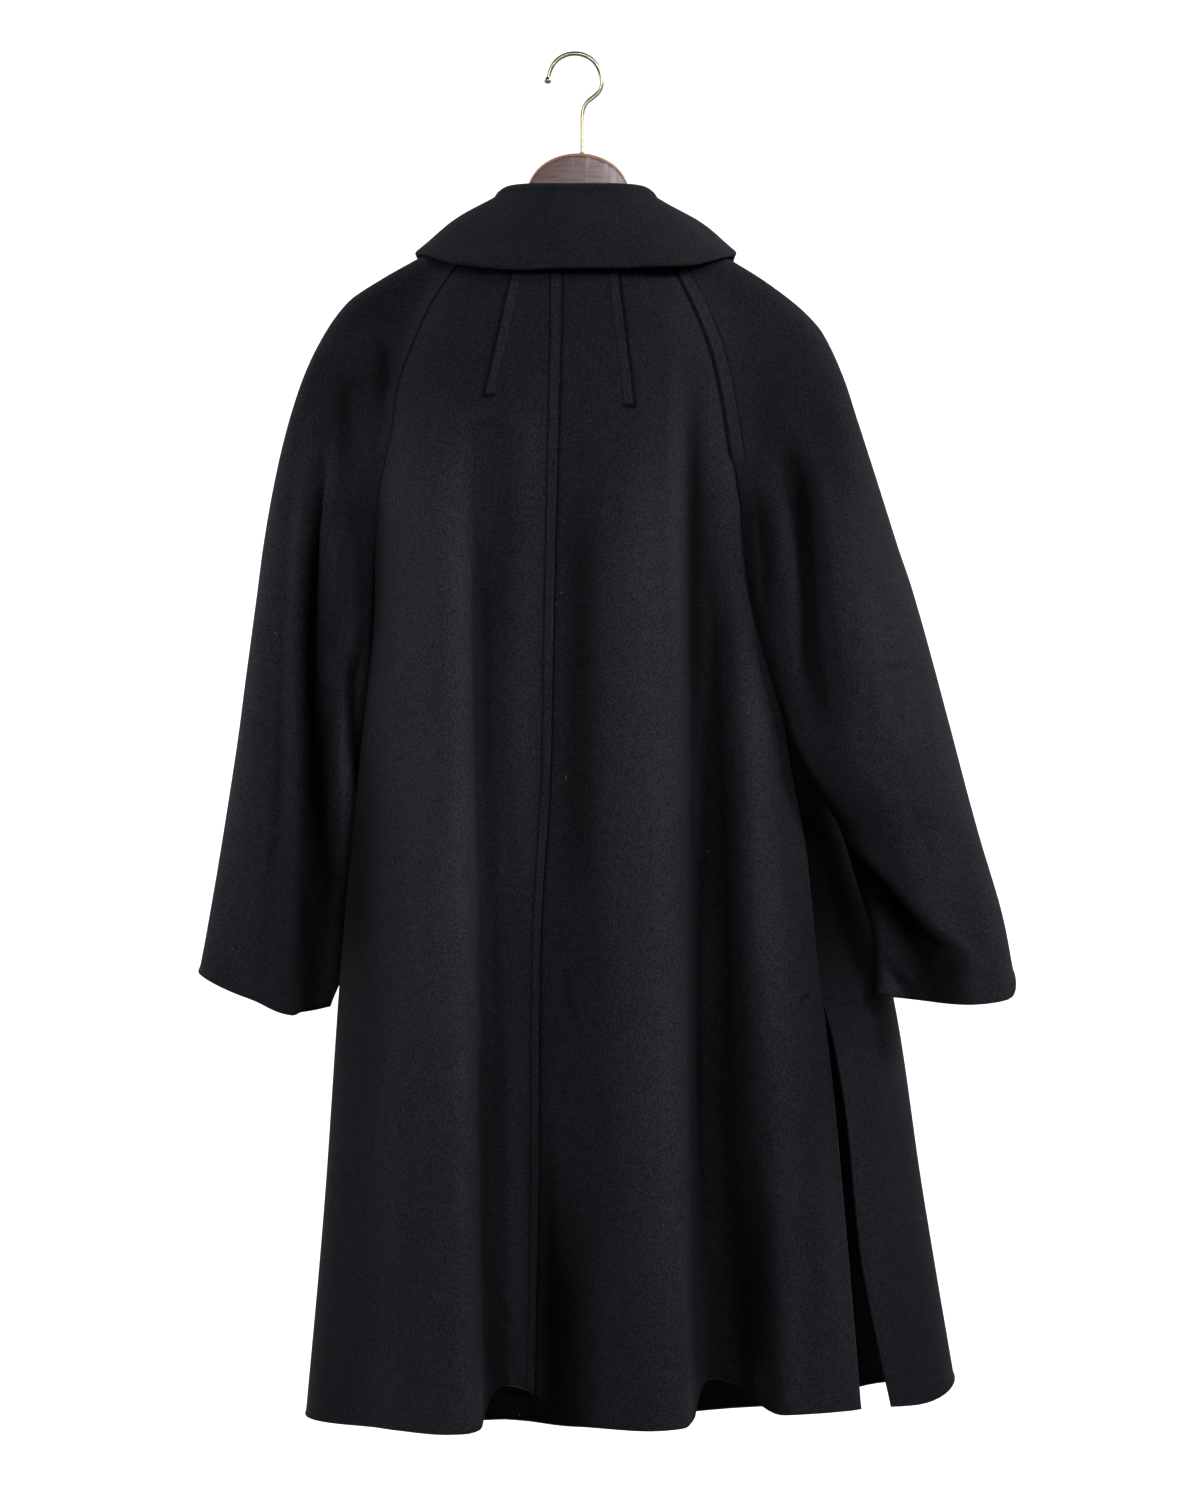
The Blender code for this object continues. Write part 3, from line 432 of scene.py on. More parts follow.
# A curve through the stations with no overshoot: cubic pieces whose slopes are harmonic means
def smoothCurve(at, stations, values):
    order = np.argsort(stations)
    stations = np.asarray(stations, float)[order]
    values = np.asarray(values, float)[order]
    step = np.diff(stations)
    grade = np.diff(values) / step
    product = grade[1:] * grade[:-1]
    total = grade[1:] + grade[:-1]
    slope = np.zeros_like(values)
    rising = product > 0
    slope[1:-1][rising] = 2 * product[rising] / total[rising]
    slope[0], slope[-1] = grade[0], grade[-1]
    at = np.clip(at, stations[0], stations[-1])
    i = np.clip(np.searchsorted(stations, at) - 1, 0, len(step) - 1)
    t = (at - stations[i]) / step[i]
    start = (1 + 2 * t) * (1 - t) ** 2 * values[i] + t * (1 - t) ** 2 * step[i] * slope[i]
    end = t * t * (3 - 2 * t) * values[i + 1] - t * t * (1 - t) * step[i] * slope[i + 1]
    return start + end


# A column of a table, read at any value of its first column
def read(table, name, at, rows="rows"):
    stations = [row[0] for row in table[rows]]
    values = [row[table["columns"].index(name)] for row in table[rows]]
    return smoothCurve(at, stations, values)


# 0 at start, 1 at end, with a soft run between
def ease(start, end, at):
    t = np.clip((at - start) / (end - start), 0, 1)
    return t * t * (3 - 2 * t)


# Straight mix: a where t is 0, b where it is 1
def blend(a, b, t):
    return a + (b - a) * t


# Vectors divided by their lengths
def unit(vectors):
    return vectors / np.maximum(np.linalg.norm(vectors, axis=-1, keepdims=True), 1e-9)


# A bell: 1 on the line, falling off over the width
def bell(distance, width):
    return np.exp(-((distance / width) ** 2))


# Sum of the folds: each is (1 - d squared) squared across its own line, faded at both ends
def foldHeight(x, z, folds):
    height = np.zeros(np.broadcast(x, z).shape)
    for row in folds:
        fold = dict(zip(foldColumns, row))
        along = (z - fold["topZ"]) / (fold["lowZ"] - fold["topZ"])
        across = x - blend(fold["topX"], fold["lowX"], along)
        reach = np.where(across < 0, fold["toLeft"], fold["toRight"])
        bump = np.clip(1 - (across / reach) ** 2, 0, None) ** 2
        strength = ease(fold["start"], fold["full"], z) * (1 - ease(fold["hold"], fold["end"], z))
        height += fold["rise"] * strength * bump
    return height


# Sum of the creases: a bell across a bowed line, with a faint swelling on both sides of it
def creaseHeight(x, z, rows):
    height = np.zeros(x.shape)
    for row in rows:
        crease = dict(zip(creaseColumns, row))
        dx, dz = crease["lowX"] - crease["topX"], crease["lowZ"] - crease["topZ"]
        length = np.hypot(dx, dz)
        px, pz = x - crease["topX"], z - crease["topZ"]
        along = (px * dx + pz * dz) / length**2
        off = (px * dz - pz * dx) / length - crease["bow"] * np.sin(np.pi * np.clip(along, 0, 1))
        ends = ease(*creaseEnds["start"], along) * (1 - ease(*creaseEnds["stop"], along))
        lips = bell(np.abs(off) - creaseLips["place"] * crease["width"], crease["width"])
        height += crease["rise"] * ends * (bell(off, crease["width"]) - creaseLips["share"] * lips)
    return height


# Sum of the sharp edges: a bell with its own width on each side, faded at both ends
def ridgeHeight(x, z, rows):
    height = np.zeros(x.shape)
    for row in rows:
        ridge = dict(zip(ridgeColumns, row))
        along = (z - ridge["topZ"]) / (ridge["lowZ"] - ridge["topZ"])
        across = x - blend(ridge["topX"], ridge["lowX"], along)
        ends = ease(*ridgeEnds["start"], along) * (1 - ease(*ridgeEnds["stop"], along))
        reach = np.where(across < 0, ridge["toLeft"], ridge["toRight"])
        height += ridge["rise"] * ends * bell(across, reach)
    return height


# Creases and sharp edges together
def fineHeight(x, z, name):
    return creaseHeight(x, z, creases[name]) + ridgeHeight(x, z, ridges[name])


# Painted light and shade at x and z: 1 where none is painted
def paintedShadeAt(x, z, name):
    return 1 + foldHeight(x, z, paintedFoldShade[name]) + creaseHeight(x, z, paintedShadeLines[name])


# Middle and half width of the body loop, and the power of its superellipse
def loopSizes(z):
    left, right = read(bodyTable, "left", z), read(bodyTable, "right", z)
    return (left + right) / 2, (right - left) / 2, read(bodyTable, "power", z)


# Angle round the body loop, from the back, of the point at x on its back or front
def angleAt(x, z, face):
    limit = 0.995
    mid, half, power = loopSizes(z)
    across = np.clip((x - mid) / half, -limit, limit)
    deep = read(bodyTable, face, z) * (1 - np.abs(across) ** power) ** (1 / power)
    return np.arctan2(across * half, deep if face == "back" else -deep)


# The plain body loop: a superellipse read at an angle from its middle
def loopPoint(angle, z):
    mid, half, power = loopSizes(z)
    out, back = np.sin(angle), np.cos(angle)
    depth = np.where(back > 0, read(bodyTable, "back", z), read(bodyTable, "front", z))
    radius = (np.abs(out / half) ** power + np.abs(back / depth) ** power) ** (-1 / power)
    return mid + radius * out, -radius * back


# Body surface: the loop with its folds
def bodyPoint(angle, z):
    x, y = loopPoint(angle, z)
    y = y - ease(*faceFade, np.cos(angle)) * foldHeight(x, z, backFolds + upperFolds)
    y = y + ease(*faceFade, -np.cos(angle)) * foldHeight(x, z, frontFolds)
    return x, y


# Unit directions out of the plain loop and along it, in plan, from two close points
def outward(angle, z):
    step = 0.01
    x0, y0 = loopPoint(angle - step, z)
    x1, y1 = loopPoint(angle + step, z)
    length = np.hypot(x1 - x0, y1 - y0)
    along = ((x1 - x0) / length, (y1 - y0) / length)
    return (along[1], -along[0]), along


# Angle of the side seam; in the vent the front's edge turns away from it
def sideAngle(side, face, z):
    angle = read(sideTable, side, z)
    if face == "front":
        angle = angle + read(sideTable, side + "Vent", z)
    return np.radians(angle)


# Raglan seam down to the underarm, then the side seam
def seamAngle(side, face, z):
    underarm = cut["underarmZ"][side]
    raglan = angleAt(read(raglanTable, side + face, z), z, face)
    turn = ease(cut["raglanTurnZ"][side], underarm, z)
    upper = blend(raglan, sideAngle(side, face, underarm + 0 * z), turn)
    return np.where(z >= underarm, upper, sideAngle(side, face, z))


# Centre back seam, or the front edge, which laps past the centre front
def edgeAngle(side, face, z):
    centre = read(centreTable, face, z)
    if face == "back":
        return angleAt(centre, z, "back")
    angle = angleAt(centre - signs[side] * read(centreTable, "lap", z), z, "front")
    turned = angle * signs[side]
    return signs[side] * np.where(turned < 0, turned + 2 * np.pi, turned)


# Level of a row above the underarm, with the rows closer together towards the neck
def yokeLevel(side, row):
    share = np.clip(row, 0, cut["yokeRows"]) / cut["yokeRows"]
    return cut["neckZ"] + (cut["underarmZ"][side] - cut["neckZ"]) * share ** cut["crowding"]


# The hem's own line, raised where a fold's valley meets it
def hemLevel(angle):
    look = cut["hemLookZ"] + 0 * angle
    x, _ = loopPoint(angle, look)
    valley = ease(*faceFade, np.cos(angle)) * foldHeight(x, look, backFolds)
    return read(hemTable, "z", np.degrees(angle)) + cut["valleyLift"] * np.clip(-valley, 0, None)


# Angle and level of a panel's points; across runs from its raglan or side seam to the centre
def panelPlace(side, face, across, row):
    fade = 1 - np.clip(row, 0, cut["yokeRows"]) / cut["yokeRows"]
    if face == "back":
        drop = -cut["backNeckDrop"] * ease(0, 1, across)
    else:
        drop = -cut["frontNeckDrop"] * ease(0, cut["frontNeckShare"], across)
    look = cut["hemLookZ"] + 0 * across
    hemAngle = blend(seamAngle(side, face, look), edgeAngle(side, face, look), across)
    skirt = np.clip(row - cut["yokeRows"], 0, None) / cut["skirtRows"]
    z = yokeLevel(side, row) + drop * fade + (hemLevel(hemAngle) - cut["underarmZ"][side]) * skirt
    return blend(seamAngle(side, face, z), edgeAngle(side, face, z), across), z


# Where the two fronts lie on each other, the right one is moved out and the left one in
lap = {"out": 1.3, "in": 5.4, "start": 10.0, "fade": 60.0, "seamShare": 0.35}


def bodyPanel(side, face):
    def surface(across, row):
        angle, z = panelPlace(side, face, across, row)
        x, y = bodyPoint(angle, z)
        if face == "front":
            past = np.abs(x - read(centreTable, "front", z)) - read(centreTable, "lap", z)
            lapped = 1 - ease(lap["start"], lap["start"] + lap["fade"], past)
            lapped = lapped * ease(0, lap["seamShare"], across)
            y = y + (lap["out"] if side == "right" else -lap["in"]) * lapped
        return np.stack([x, y, z], axis=-1)

    return surface


# The right sleeve swells towards the flap's slanting edge, and its lower part lies behind it
def flapStep(x, z):
    drop = read(flap, "z", x) - z
    below = ease(0, flap["roll"], drop)
    above = ease(-flap["reach"], 0, drop)
    return (flap["depth"] * below - flap["bulge"] * above * (1 - below)) * (1 - ease(*flap["fade"], x))


# Half a sleeve: level curves are cubics from the raglan or inner seam (0) to the outer edge (1)
def sleeveHalf(side, face):
    sign, way = signs[side], -1.0 if face == "back" else 1.0
    half, shape = side + face, sleeveShape
    underarm = cut["underarmZ"][side]

    def surface(across, row):
        fade = (1 - np.clip(row, 0, cut["yokeRows"]) / cut["yokeRows"]) ** 2
        lower = np.clip(row - cut["yokeRows"], 0, None) / cut["cuffRows"]
        z = yokeLevel(side, row) + shape["ridgeRise"] * ease(0, 1, across) * fade
        z = z + (read(cuffTable, half, across) - underarm) * lower
        inner = np.radians(read(sleeveTable, "inner", z, side))
        parted = ease(0, shape["partLength"], underarm - z)
        angle = blend(seamAngle(side, face, np.maximum(z, underarm)), inner, parted)
        out, along = outward(angle, z)
        x0, y0 = bodyPoint(angle, z)
        clear = read(sleeveTable, "clear", z, side)
        x0, y0 = x0 + clear * out[0], y0 + clear * out[1]
        x3, y3 = read(sleeveTable, "outer", z, side), read(sleeveTable, "mid", z, side)
        full = read(sleeveTable, "full" + face, z, side)
        pocket = ease(shape["pocketStartZ"], underarm, z)
        pocketWay = np.radians(shape["pocketWay"][half])
        dx = blend(along[0] * sign * -way, sign * np.cos(pocketWay), pocket)
        dy = blend(along[1] * sign * -way, way * np.sin(pocketWay), pocket)
        reach = blend(shape["shoulderReach"] * np.abs(x3 - x0), shape["pocketReach"] * full, pocket)
        reach = reach / np.hypot(dx, dy)
        t, s = across, 1 - across
        x = s**3 * x0 + 3 * s * s * t * (x0 + reach * dx) + (3 * s * t * t + t**3) * x3
        y = s**3 * y0 + 3 * s * s * t * (y0 + reach * dy)
        y = y + 3 * s * t * t * (y3 + way * full) + t**3 * y3
        free = ease(0, shape["seamShare"], across) * ease(0, shape["seamShare"], 1 - across)
        y = y + way * free * foldHeight(x, z, sleeveFolds[half])
        if half == "rightback":
            fromSeam, fromEdge = flap["seamShares"]
            y = y + ease(0, fromSeam, across) * ease(0, fromEdge, 1 - across) * flapStep(x, z)
        return np.stack([x, y, z], axis=-1)

    return surface


# Unit normals of a grid of points, turned away from the point middle in plan
def gridNormals(points, middle):
    normal = unit(np.cross(np.gradient(points, axis=1), np.gradient(points, axis=0)))
    facing = np.sum(normal[..., :2] * (points[..., :2] - np.array(middle)))
    return normal if facing > 0 else -normal


# A mesh from an array of points and arrays of faces with three or four corners each
def makePiece(name, points, faces, finish, slot, replaced=(), napAndPaintedShade=None):
    mesh = bpy.data.meshes.new(name)
    sizes = np.concatenate([np.full(len(part), part.shape[1]) for part in faces])
    corners = np.concatenate([part.ravel() for part in faces]).astype(np.int32)
    starts = np.concatenate([[0], np.cumsum(sizes)[:-1]]).astype(np.int32)
    mesh.vertices.add(len(points))
    mesh.vertices.foreach_set("co", (np.asarray(points) * mm).astype(np.float32).ravel())
    mesh.loops.add(len(corners))
    mesh.loops.foreach_set("vertex_index", corners)
    mesh.polygons.add(len(sizes))
    mesh.polygons.foreach_set("loop_start", starts)
    mesh.update(calc_edges=True)
    mesh.shade_smooth()
    mesh.materials.append(finish)
    if napAndPaintedShade is not None:
        mesh.attributes.new("napAndPaintedShade", "FLOAT", "POINT").data.foreach_set("value", napAndPaintedShade.astype(np.float32))
    piece = bpy.data.objects.new(name, mesh)
    bpy.context.scene.collection.objects.link(piece)
    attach(piece, "root")
    if replaced:
        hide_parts(*replaced)
    return piece


# Faces of a grid of points stored row by row
def gridQuads(rows, columns, offset=0, wrap=False):
    across = np.arange(columns if wrap else columns - 1)
    a = np.arange(rows - 1)[:, None] * columns + across
    b = np.arange(rows - 1)[:, None] * columns + (across + 1) % columns
    return offset + np.stack([a, b, b + columns, a + columns], axis=-1).reshape(-1, 4)


# Turns all faces over if the closed mesh they make is inside out, from its signed volume
def facingOut(points, faces):
    volume = 0.0
    for part in faces:
        corners = points[part]
        for k in range(1, part.shape[1] - 1):
            volume += np.linalg.det(corners[:, [0, k, k + 1]]).sum()
    return faces if volume > 0 else [part[:, ::-1] for part in faces]


# A grid of points averaged over a window of rows and columns, from running sums
def averaged(points, window):
    for axis, reach in enumerate(window):
        ends = [(0, 0)] * 3
        ends[axis] = (reach + 1, reach)
        total = np.cumsum(np.pad(points, ends, mode="edge"), axis=axis)
        size = total.shape[axis]
        span = 2 * reach + 1
        after, before = np.take(total, range(span, size), axis), np.take(total, range(size - span), axis)
        points = (after - before) / span
    return points


# Painted light and shade from the cloth's own shape: darker in a hollow as painted shade, paler on a
# ridge as painted highlight, and darker on the inside face as painted shade inside the coat
curvaturePaint = {"window": (5, 7), "depth": 2.6, "hollow": 0.45, "ridge": 0.12, "insideShade": 0.3}


def paintedCurvatureShade(points, normals):
    sunk = np.sum((averaged(points, curvaturePaint["window"]) - points) * normals, axis=-1)
    sunk = sunk / curvaturePaint["depth"]
    return 1 - curvaturePaint["hollow"] * ease(0, 1, sunk) + curvaturePaint["ridge"] * ease(0, 1, -sunk)


# Cloth: outer and inner face half a thickness from the middle surface, joined by a half-round rim
def clothShell(points, half, middle, paintedLightAndShade=1.0):
    rows, columns = points.shape[:2]
    normals = gridNormals(points, middle)
    half = np.broadcast_to(half, (rows, columns))[..., None]
    edge = np.zeros_like(points)
    edge[0] += unit(points[0] - points[1])
    edge[-1] += unit(points[-1] - points[-2])
    edge[:, 0] += unit(points[:, 0] - points[:, 1])
    edge[:, -1] += unit(points[:, -1] - points[:, -2])
    edge = unit(edge - normals * np.sum(edge * normals, axis=-1, keepdims=True))
    middlePoints = points - edge * half
    r = np.concatenate([np.zeros(columns - 1), np.arange(rows - 1), np.full(columns - 1, rows - 1),
                        np.arange(rows - 1, 0, -1)]).astype(int)
    c = np.concatenate([np.arange(columns - 1), np.full(rows - 1, columns - 1),
                        np.arange(columns - 1, 0, -1), np.zeros(rows - 1)]).astype(int)
    count, rim = rows * columns, len(r)
    rimTurns = np.radians([45, 90, 135])
    layers = [(middlePoints + way * normals * half).reshape(-1, 3) for way in (1, -1)]
    strips = [r * columns + c]
    for k, turn in enumerate(rimTurns):
        layers.append((middlePoints + half * (np.cos(turn) * normals + np.sin(turn) * edge))[r, c])
        strips.append(2 * count + k * rim + np.arange(rim))
    strips.append(count + strips[0])
    faces = [gridQuads(rows, columns), gridQuads(rows, columns, count)[:, ::-1]]
    for first, second in zip(strips, strips[1:]):
        faces.append(np.stack([np.roll(first, -1), first, second, np.roll(second, -1)], axis=-1))
    vertices = np.concatenate(layers)
    # Painted light and shade for each point: the inner face gets a small share of it, which paints it dark
    # as shade inside the coat, and the rim copies the outer face
    napAndPaintedShade = paintedCurvatureShade(points, normals) * paintedLightAndShade
    rimShade = np.tile(napAndPaintedShade[r, c], len(rimTurns))
    napAndPaintedShade = np.concatenate([napAndPaintedShade.ravel(), curvaturePaint["insideShade"] * napAndPaintedShade.ravel(), rimShade])
    return vertices, facingOut(vertices, faces), napAndPaintedShade


# A piece of the coat from its shell and the painted light and shade on it
def makeCloth(name, shape, finish, slot, replaced):
    points, faces, napAndPaintedShade = shape
    return makePiece(name, points, faces, finish, slot, replaced, napAndPaintedShade)


# A closed tube through rings of points, with a fan at each end
def tube(rings):
    count, sides = rings.shape[:2]
    vertices = np.concatenate([rings.reshape(-1, 3), rings[[0, -1]].mean(axis=1)])
    around = np.arange(sides)
    turned = (around + 1) % sides
    last = (count - 1) * sides
    start = np.stack([turned, around, np.full(sides, count * sides)], axis=-1)
    end = np.stack([last + around, last + turned, np.full(sides, count * sides + 1)], axis=-1)
    return vertices, facingOut(vertices, [gridQuads(count, sides, wrap=True), start, end])


# Several meshes as one, with their faces grouped by the number of corners
def joined(parts):
    points, faces, offset = [], {3: [], 4: []}, 0
    for vertices, polygons in parts:
        points.append(vertices)
        for part in polygons:
            faces[part.shape[1]].append(part + offset)
        offset += len(vertices)
    return np.concatenate(points), [np.concatenate(group) for group in faces.values() if group]


# A node's output that Python operators join by Math nodes
class Signal:
    def __init__(self, finish, socket):
        self.finish = finish
        self.socket = socket

    def join(self, operation, first, second):
        return self.finish.node("ShaderNodeMath", {"operation": operation}, {0: first, 1: second})

    def __add__(self, other):
        return self.join("ADD", self, other)

    def __radd__(self, other):
        return self.join("ADD", other, self)

    def __mul__(self, other):
        return self.join("MULTIPLY", self, other)

    def __rmul__(self, other):
        return self.join("MULTIPLY", other, self)


# One material: node() adds any node, shade() sets or links the shader's own sockets
class Finish:
    def __init__(self, name):
        self.material = bpy.data.materials.new(name)
        self.material.use_nodes = True
        self.tree = self.material.node_tree
        self.shader = self.tree.nodes["Principled BSDF"]

    def put(self, socket, value):
        if isinstance(value, Signal):
            self.tree.links.new(value.socket, socket)
        else:
            socket.default_value = value

    def node(self, kind, settings=None, sockets=None, output=0):
        made = self.tree.nodes.new(kind)
        for name, value in (settings or {}).items():
            setattr(made, name, value)
        for key, value in (sockets or {}).items():
            self.put(made.inputs[key], value)
        return Signal(self, made.outputs[output])

    def shade(self, **sockets):
        for name, value in sockets.items():
            self.put(self.shader.inputs[name.replace("_", " ")], value)
        return self.material

    def place(self, scale=(1.0, 1.0, 1.0)):
        here = self.node("ShaderNodeTexCoord", output="Object")
        return self.node("ShaderNodeMapping", sockets={"Vector": here, "Scale": scale})

    def noise(self, scale, detail=2.0, stretch=(1.0, 1.0, 1.0), roughness=0.5):
        sockets = {"Scale": scale, "Detail": detail, "Roughness": roughness}
        return self.node("ShaderNodeTexNoise", sockets={"Vector": self.place(stretch), **sockets})

    # 0 below low, 1 above high
    def between(self, value, low, high):
        sockets = {"Value": value, "From Min": low, "From Max": high}
        return self.node("ShaderNodeMapRange", {"interpolation_type": "SMOOTHSTEP"}, sockets)

    # By number, because the Mix node has sockets of the same names for numbers, vectors and colours
    def mix(self, share, first, second, way="MIX"):
        settings = {"data_type": "RGBA", "blend_type": way}
        return self.node("ShaderNodeMix", settings, {0: share, 6: first, 7: second}, 2)

    def bump(self, height, strength, distance):
        sockets = {"Height": height, "Strength": strength, "Distance": distance}
        return self.node("ShaderNodeBump", sockets=sockets)


def tone(red, green, blue):
    return (red, green, blue, 1.0)


# The pair's first value, plus its second times the signal
def level(pair, signal):
    return pair[0] + pair[1] * signal


# Brushed wool: matt felted nap with a fine grain, cloudy patches where it lies another way, a soft
# bloom at grazing angles and a few specks of lint. In this and the other finishes a noise is given
# by its scale, detail, stretch along x, y and z, and roughness
wool = {
    "dark": tone(0.0097, 0.0103, 0.0124),
    "light": tone(0.0241, 0.0257, 0.0309),
    "lint": tone(0.085, 0.085, 0.083),
    "grain": (780.0, 3.0, (1.0, 1.0, 0.62), 0.62),
    "fibre": (1500.0, 2.0, (1.0, 1.0, 0.25)),
    "patch": (17.0, 3.0, (1.0, 1.0, 0.55)),
    "cloud": (88.4, 2.0, (1.0, 1.0, 0.7)),
    "speck": (430.0, 0.0, (1.0, 1.0, 0.45)),
    "speckArea": (31.0, 0.0),
    "grainRange": (0.36, 0.64),
    "patchRange": (0.32, 0.68),
    "cloudRange": (0.3, 0.7),
    "speckRange": (0.80, 0.815),
    "speckAreaRange": (0.795, 0.81),
    "napShares": (0.84, 0.11, 0.05),
    "heightShares": (0.7, 0.3, 0.12),
    "bump": (0.55, 0.0009),
    "roughness": (0.88, 0.12),
    "sheen": 0.008,
    "sheenRough": 0.45,
    "sheenTint": tone(0.80, 0.86, 1.0),
    "specular": 0.03,
}


def woolFinish():
    finish = Finish("brushed_wool")
    grain = finish.noise(*wool["grain"])
    fibre = finish.noise(*wool["fibre"])
    patch = finish.noise(*wool["patch"])
    cloud = finish.noise(*wool["cloud"])
    grainShare, patchShare, cloudShare = wool["napShares"]
    napAndPaintedShade = grainShare * finish.between(grain, *wool["grainRange"])
    napAndPaintedShade = napAndPaintedShade + patchShare * finish.between(patch, *wool["patchRange"])
    napAndPaintedShade = napAndPaintedShade + cloudShare * finish.between(cloud, *wool["cloudRange"])
    colour = finish.mix(napAndPaintedShade, wool["dark"], wool["light"])
    lint = finish.between(finish.noise(*wool["speck"]), *wool["speckRange"])
    lint = lint * finish.between(finish.noise(*wool["speckArea"]), *wool["speckAreaRange"])
    # Painted light and shade carried by the mesh, multiplied into the colour
    paintedLightAndShade = finish.node("ShaderNodeAttribute", {"attribute_name": "napAndPaintedShade"})
    colour = finish.mix(1.0, colour, paintedLightAndShade, "MULTIPLY")
    colour = finish.mix(lint, colour, wool["lint"])
    grainHeight, fibreHeight, cloudHeight = wool["heightShares"]
    height = grainHeight * grain + fibreHeight * fibre + cloudHeight * cloud
    return finish.shade(
        Base_Color=colour,
        Roughness=level(wool["roughness"], patch),
        Normal=finish.bump(height, *wool["bump"]),
        Sheen_Weight=wool["sheen"],
        Sheen_Roughness=wool["sheenRough"],
        Sheen_Tint=wool["sheenTint"],
        Specular_IOR_Level=wool["specular"],
    )


# Satin lining: black, painted darker still as painted shade inside the coat, with fine ribs down the cloth
# and a cool, fairly tight shine
liningSatin = {
    "dark": tone(0.0008, 0.0008, 0.0010),
    "light": tone(0.0020, 0.0020, 0.0025),
    "rib": (1700.0, 1.0, (1.0, 1.0, 0.05)),
    "patch": (30.0, 2.0, (1.0, 1.0, 0.4)),
    "heightShares": (0.6, 0.4),
    "bump": (0.2, 0.0006),
    "roughness": (0.46, 0.16),
    "specular": 0.03,
}


def liningFinish():
    finish = Finish("satin_lining")
    rib = finish.noise(*liningSatin["rib"])
    patch = finish.noise(*liningSatin["patch"])
    ribHeight, patchHeight = liningSatin["heightShares"]
    return finish.shade(
        Base_Color=finish.mix(patch, liningSatin["dark"], liningSatin["light"]),
        Roughness=level(liningSatin["roughness"], patch),
        Normal=finish.bump(ribHeight * rib + patchHeight * patch, *liningSatin["bump"]),
        Specular_IOR_Level=liningSatin["specular"],
    )


# Sewing thread: black, with the twist of its plies
sewingThread = {
    "dark": tone(0.0030, 0.0030, 0.0036),
    "light": tone(0.0085, 0.0086, 0.0100),
    "twist": (2600.0, 1.0),
    "bump": (0.3, 0.0003),
    "roughness": (0.6, 0.2),
    "specular": 0.05,
}


def threadFinish():
    finish = Finish("sewing_thread")
    twist = finish.noise(*sewingThread["twist"])
    return finish.shade(
        Base_Color=finish.mix(twist, sewingThread["dark"], sewingThread["light"]),
        Roughness=level(sewingThread["roughness"], twist),
        Normal=finish.bump(twist, *sewingThread["bump"]),
        Specular_IOR_Level=sewingThread["specular"],
    )


# Dark horn buttons: smoky streaks under a polish, dulled a little by handling
buttonHorn = {
    "dark": tone(0.007, 0.006, 0.006),
    "light": tone(0.050, 0.034, 0.024),
    "streak": (95.0, 3.0, (1.0, 1.0, 0.22), 0.6),
    "streakRange": (0.42, 0.72),
    "scuff": (900.0, 3.0),
    "bump": (0.05, 0.0004),
    "roughness": (0.22, 0.16),
}


def hornFinish():
    finish = Finish("dark_horn")
    streak = finish.between(finish.noise(*buttonHorn["streak"]), *buttonHorn["streakRange"])
    scuff = finish.noise(*buttonHorn["scuff"])
    return finish.shade(
        Base_Color=finish.mix(streak, buttonHorn["dark"], buttonHorn["light"]),
        Roughness=level(buttonHorn["roughness"], scuff),
        Normal=finish.bump(scuff, *buttonHorn["bump"]),
    )


# Stained hanger wood: grain along the arms, pale vertical streaks over its right half, a worn rim
hangerWood = {
    "dark": tone(0.110, 0.050, 0.050),
    "mid": tone(0.30, 0.165, 0.155),
    "pale": tone(0.62, 0.54, 0.53),
    "rim": tone(0.50, 0.27, 0.165),
    "grain": (520.0, 4.0, (0.07, 1.0, 1.0), 0.65),
    "grainRange": (0.3, 0.72),
    "broad": (60.0, 2.0, (0.25, 1.0, 1.0)),
    "streak": (120.0, 2.0, (1.0, 0.5, 0.10)),
    "streakRange": (0.46, 0.62),
    "streakFrom": (-0.016, 0.012),
    "streakShare": 0.75,
    "rimBroad": 0.3,
    "rimRange": (0.40, 0.80),
    "bump": (0.12, 0.0005),
    "roughness": (0.34, 0.2),
    "coat": 0.25,
    "coatRough": 0.2,
}


def hangerFinish():
    finish = Finish("stained_wood")
    grain = finish.noise(*hangerWood["grain"])
    broad = finish.noise(*hangerWood["broad"])
    stain = finish.between(grain, *hangerWood["grainRange"])
    colour = finish.mix(stain, hangerWood["dark"], hangerWood["mid"])
    streak = finish.between(finish.noise(*hangerWood["streak"]), *hangerWood["streakRange"])
    x = finish.node("ShaderNodeSeparateXYZ", sockets={0: finish.place()})
    east = finish.between(x, *hangerWood["streakFrom"])
    colour = finish.mix(hangerWood["streakShare"] * streak * east, colour, hangerWood["pale"])
    rim = finish.node("ShaderNodeAttribute", {"attribute_name": "rim"}, output="Fac")
    worn = finish.between(rim + hangerWood["rimBroad"] * broad, *hangerWood["rimRange"])
    colour = finish.mix(worn, colour, hangerWood["rim"])
    return finish.shade(
        Base_Color=colour,
        Roughness=level(hangerWood["roughness"], grain),
        Normal=finish.bump(grain, *hangerWood["bump"]),
        Coat_Weight=hangerWood["coat"],
        Coat_Roughness=hangerWood["coatRough"],
    )


# Brass plating: bright, with faint drawn lines and duller patches
hookBrass = {
    "dark": tone(0.46, 0.42, 0.31),
    "light": tone(0.62, 0.58, 0.46),
    "haze": (140.0, 3.0),
    "line": (900.0, 2.0, (1.0, 1.0, 0.15)),
    "bump": (0.04, 0.0002),
    "roughness": (0.22, 0.08),
}


def brassFinish():
    finish = Finish("pale_brass")
    haze = finish.noise(*hookBrass["haze"])
    line = finish.noise(*hookBrass["line"])
    return finish.shade(
        Base_Color=finish.mix(haze, hookBrass["dark"], hookBrass["light"]),
        Metallic=1.0,
        Roughness=level(hookBrass["roughness"], haze),
        Normal=finish.bump(line, *hookBrass["bump"]),
    )


woolCloth = woolFinish()
satin = liningFinish()
thread = threadFinish()
horn = hornFinish()
print("finishes made")

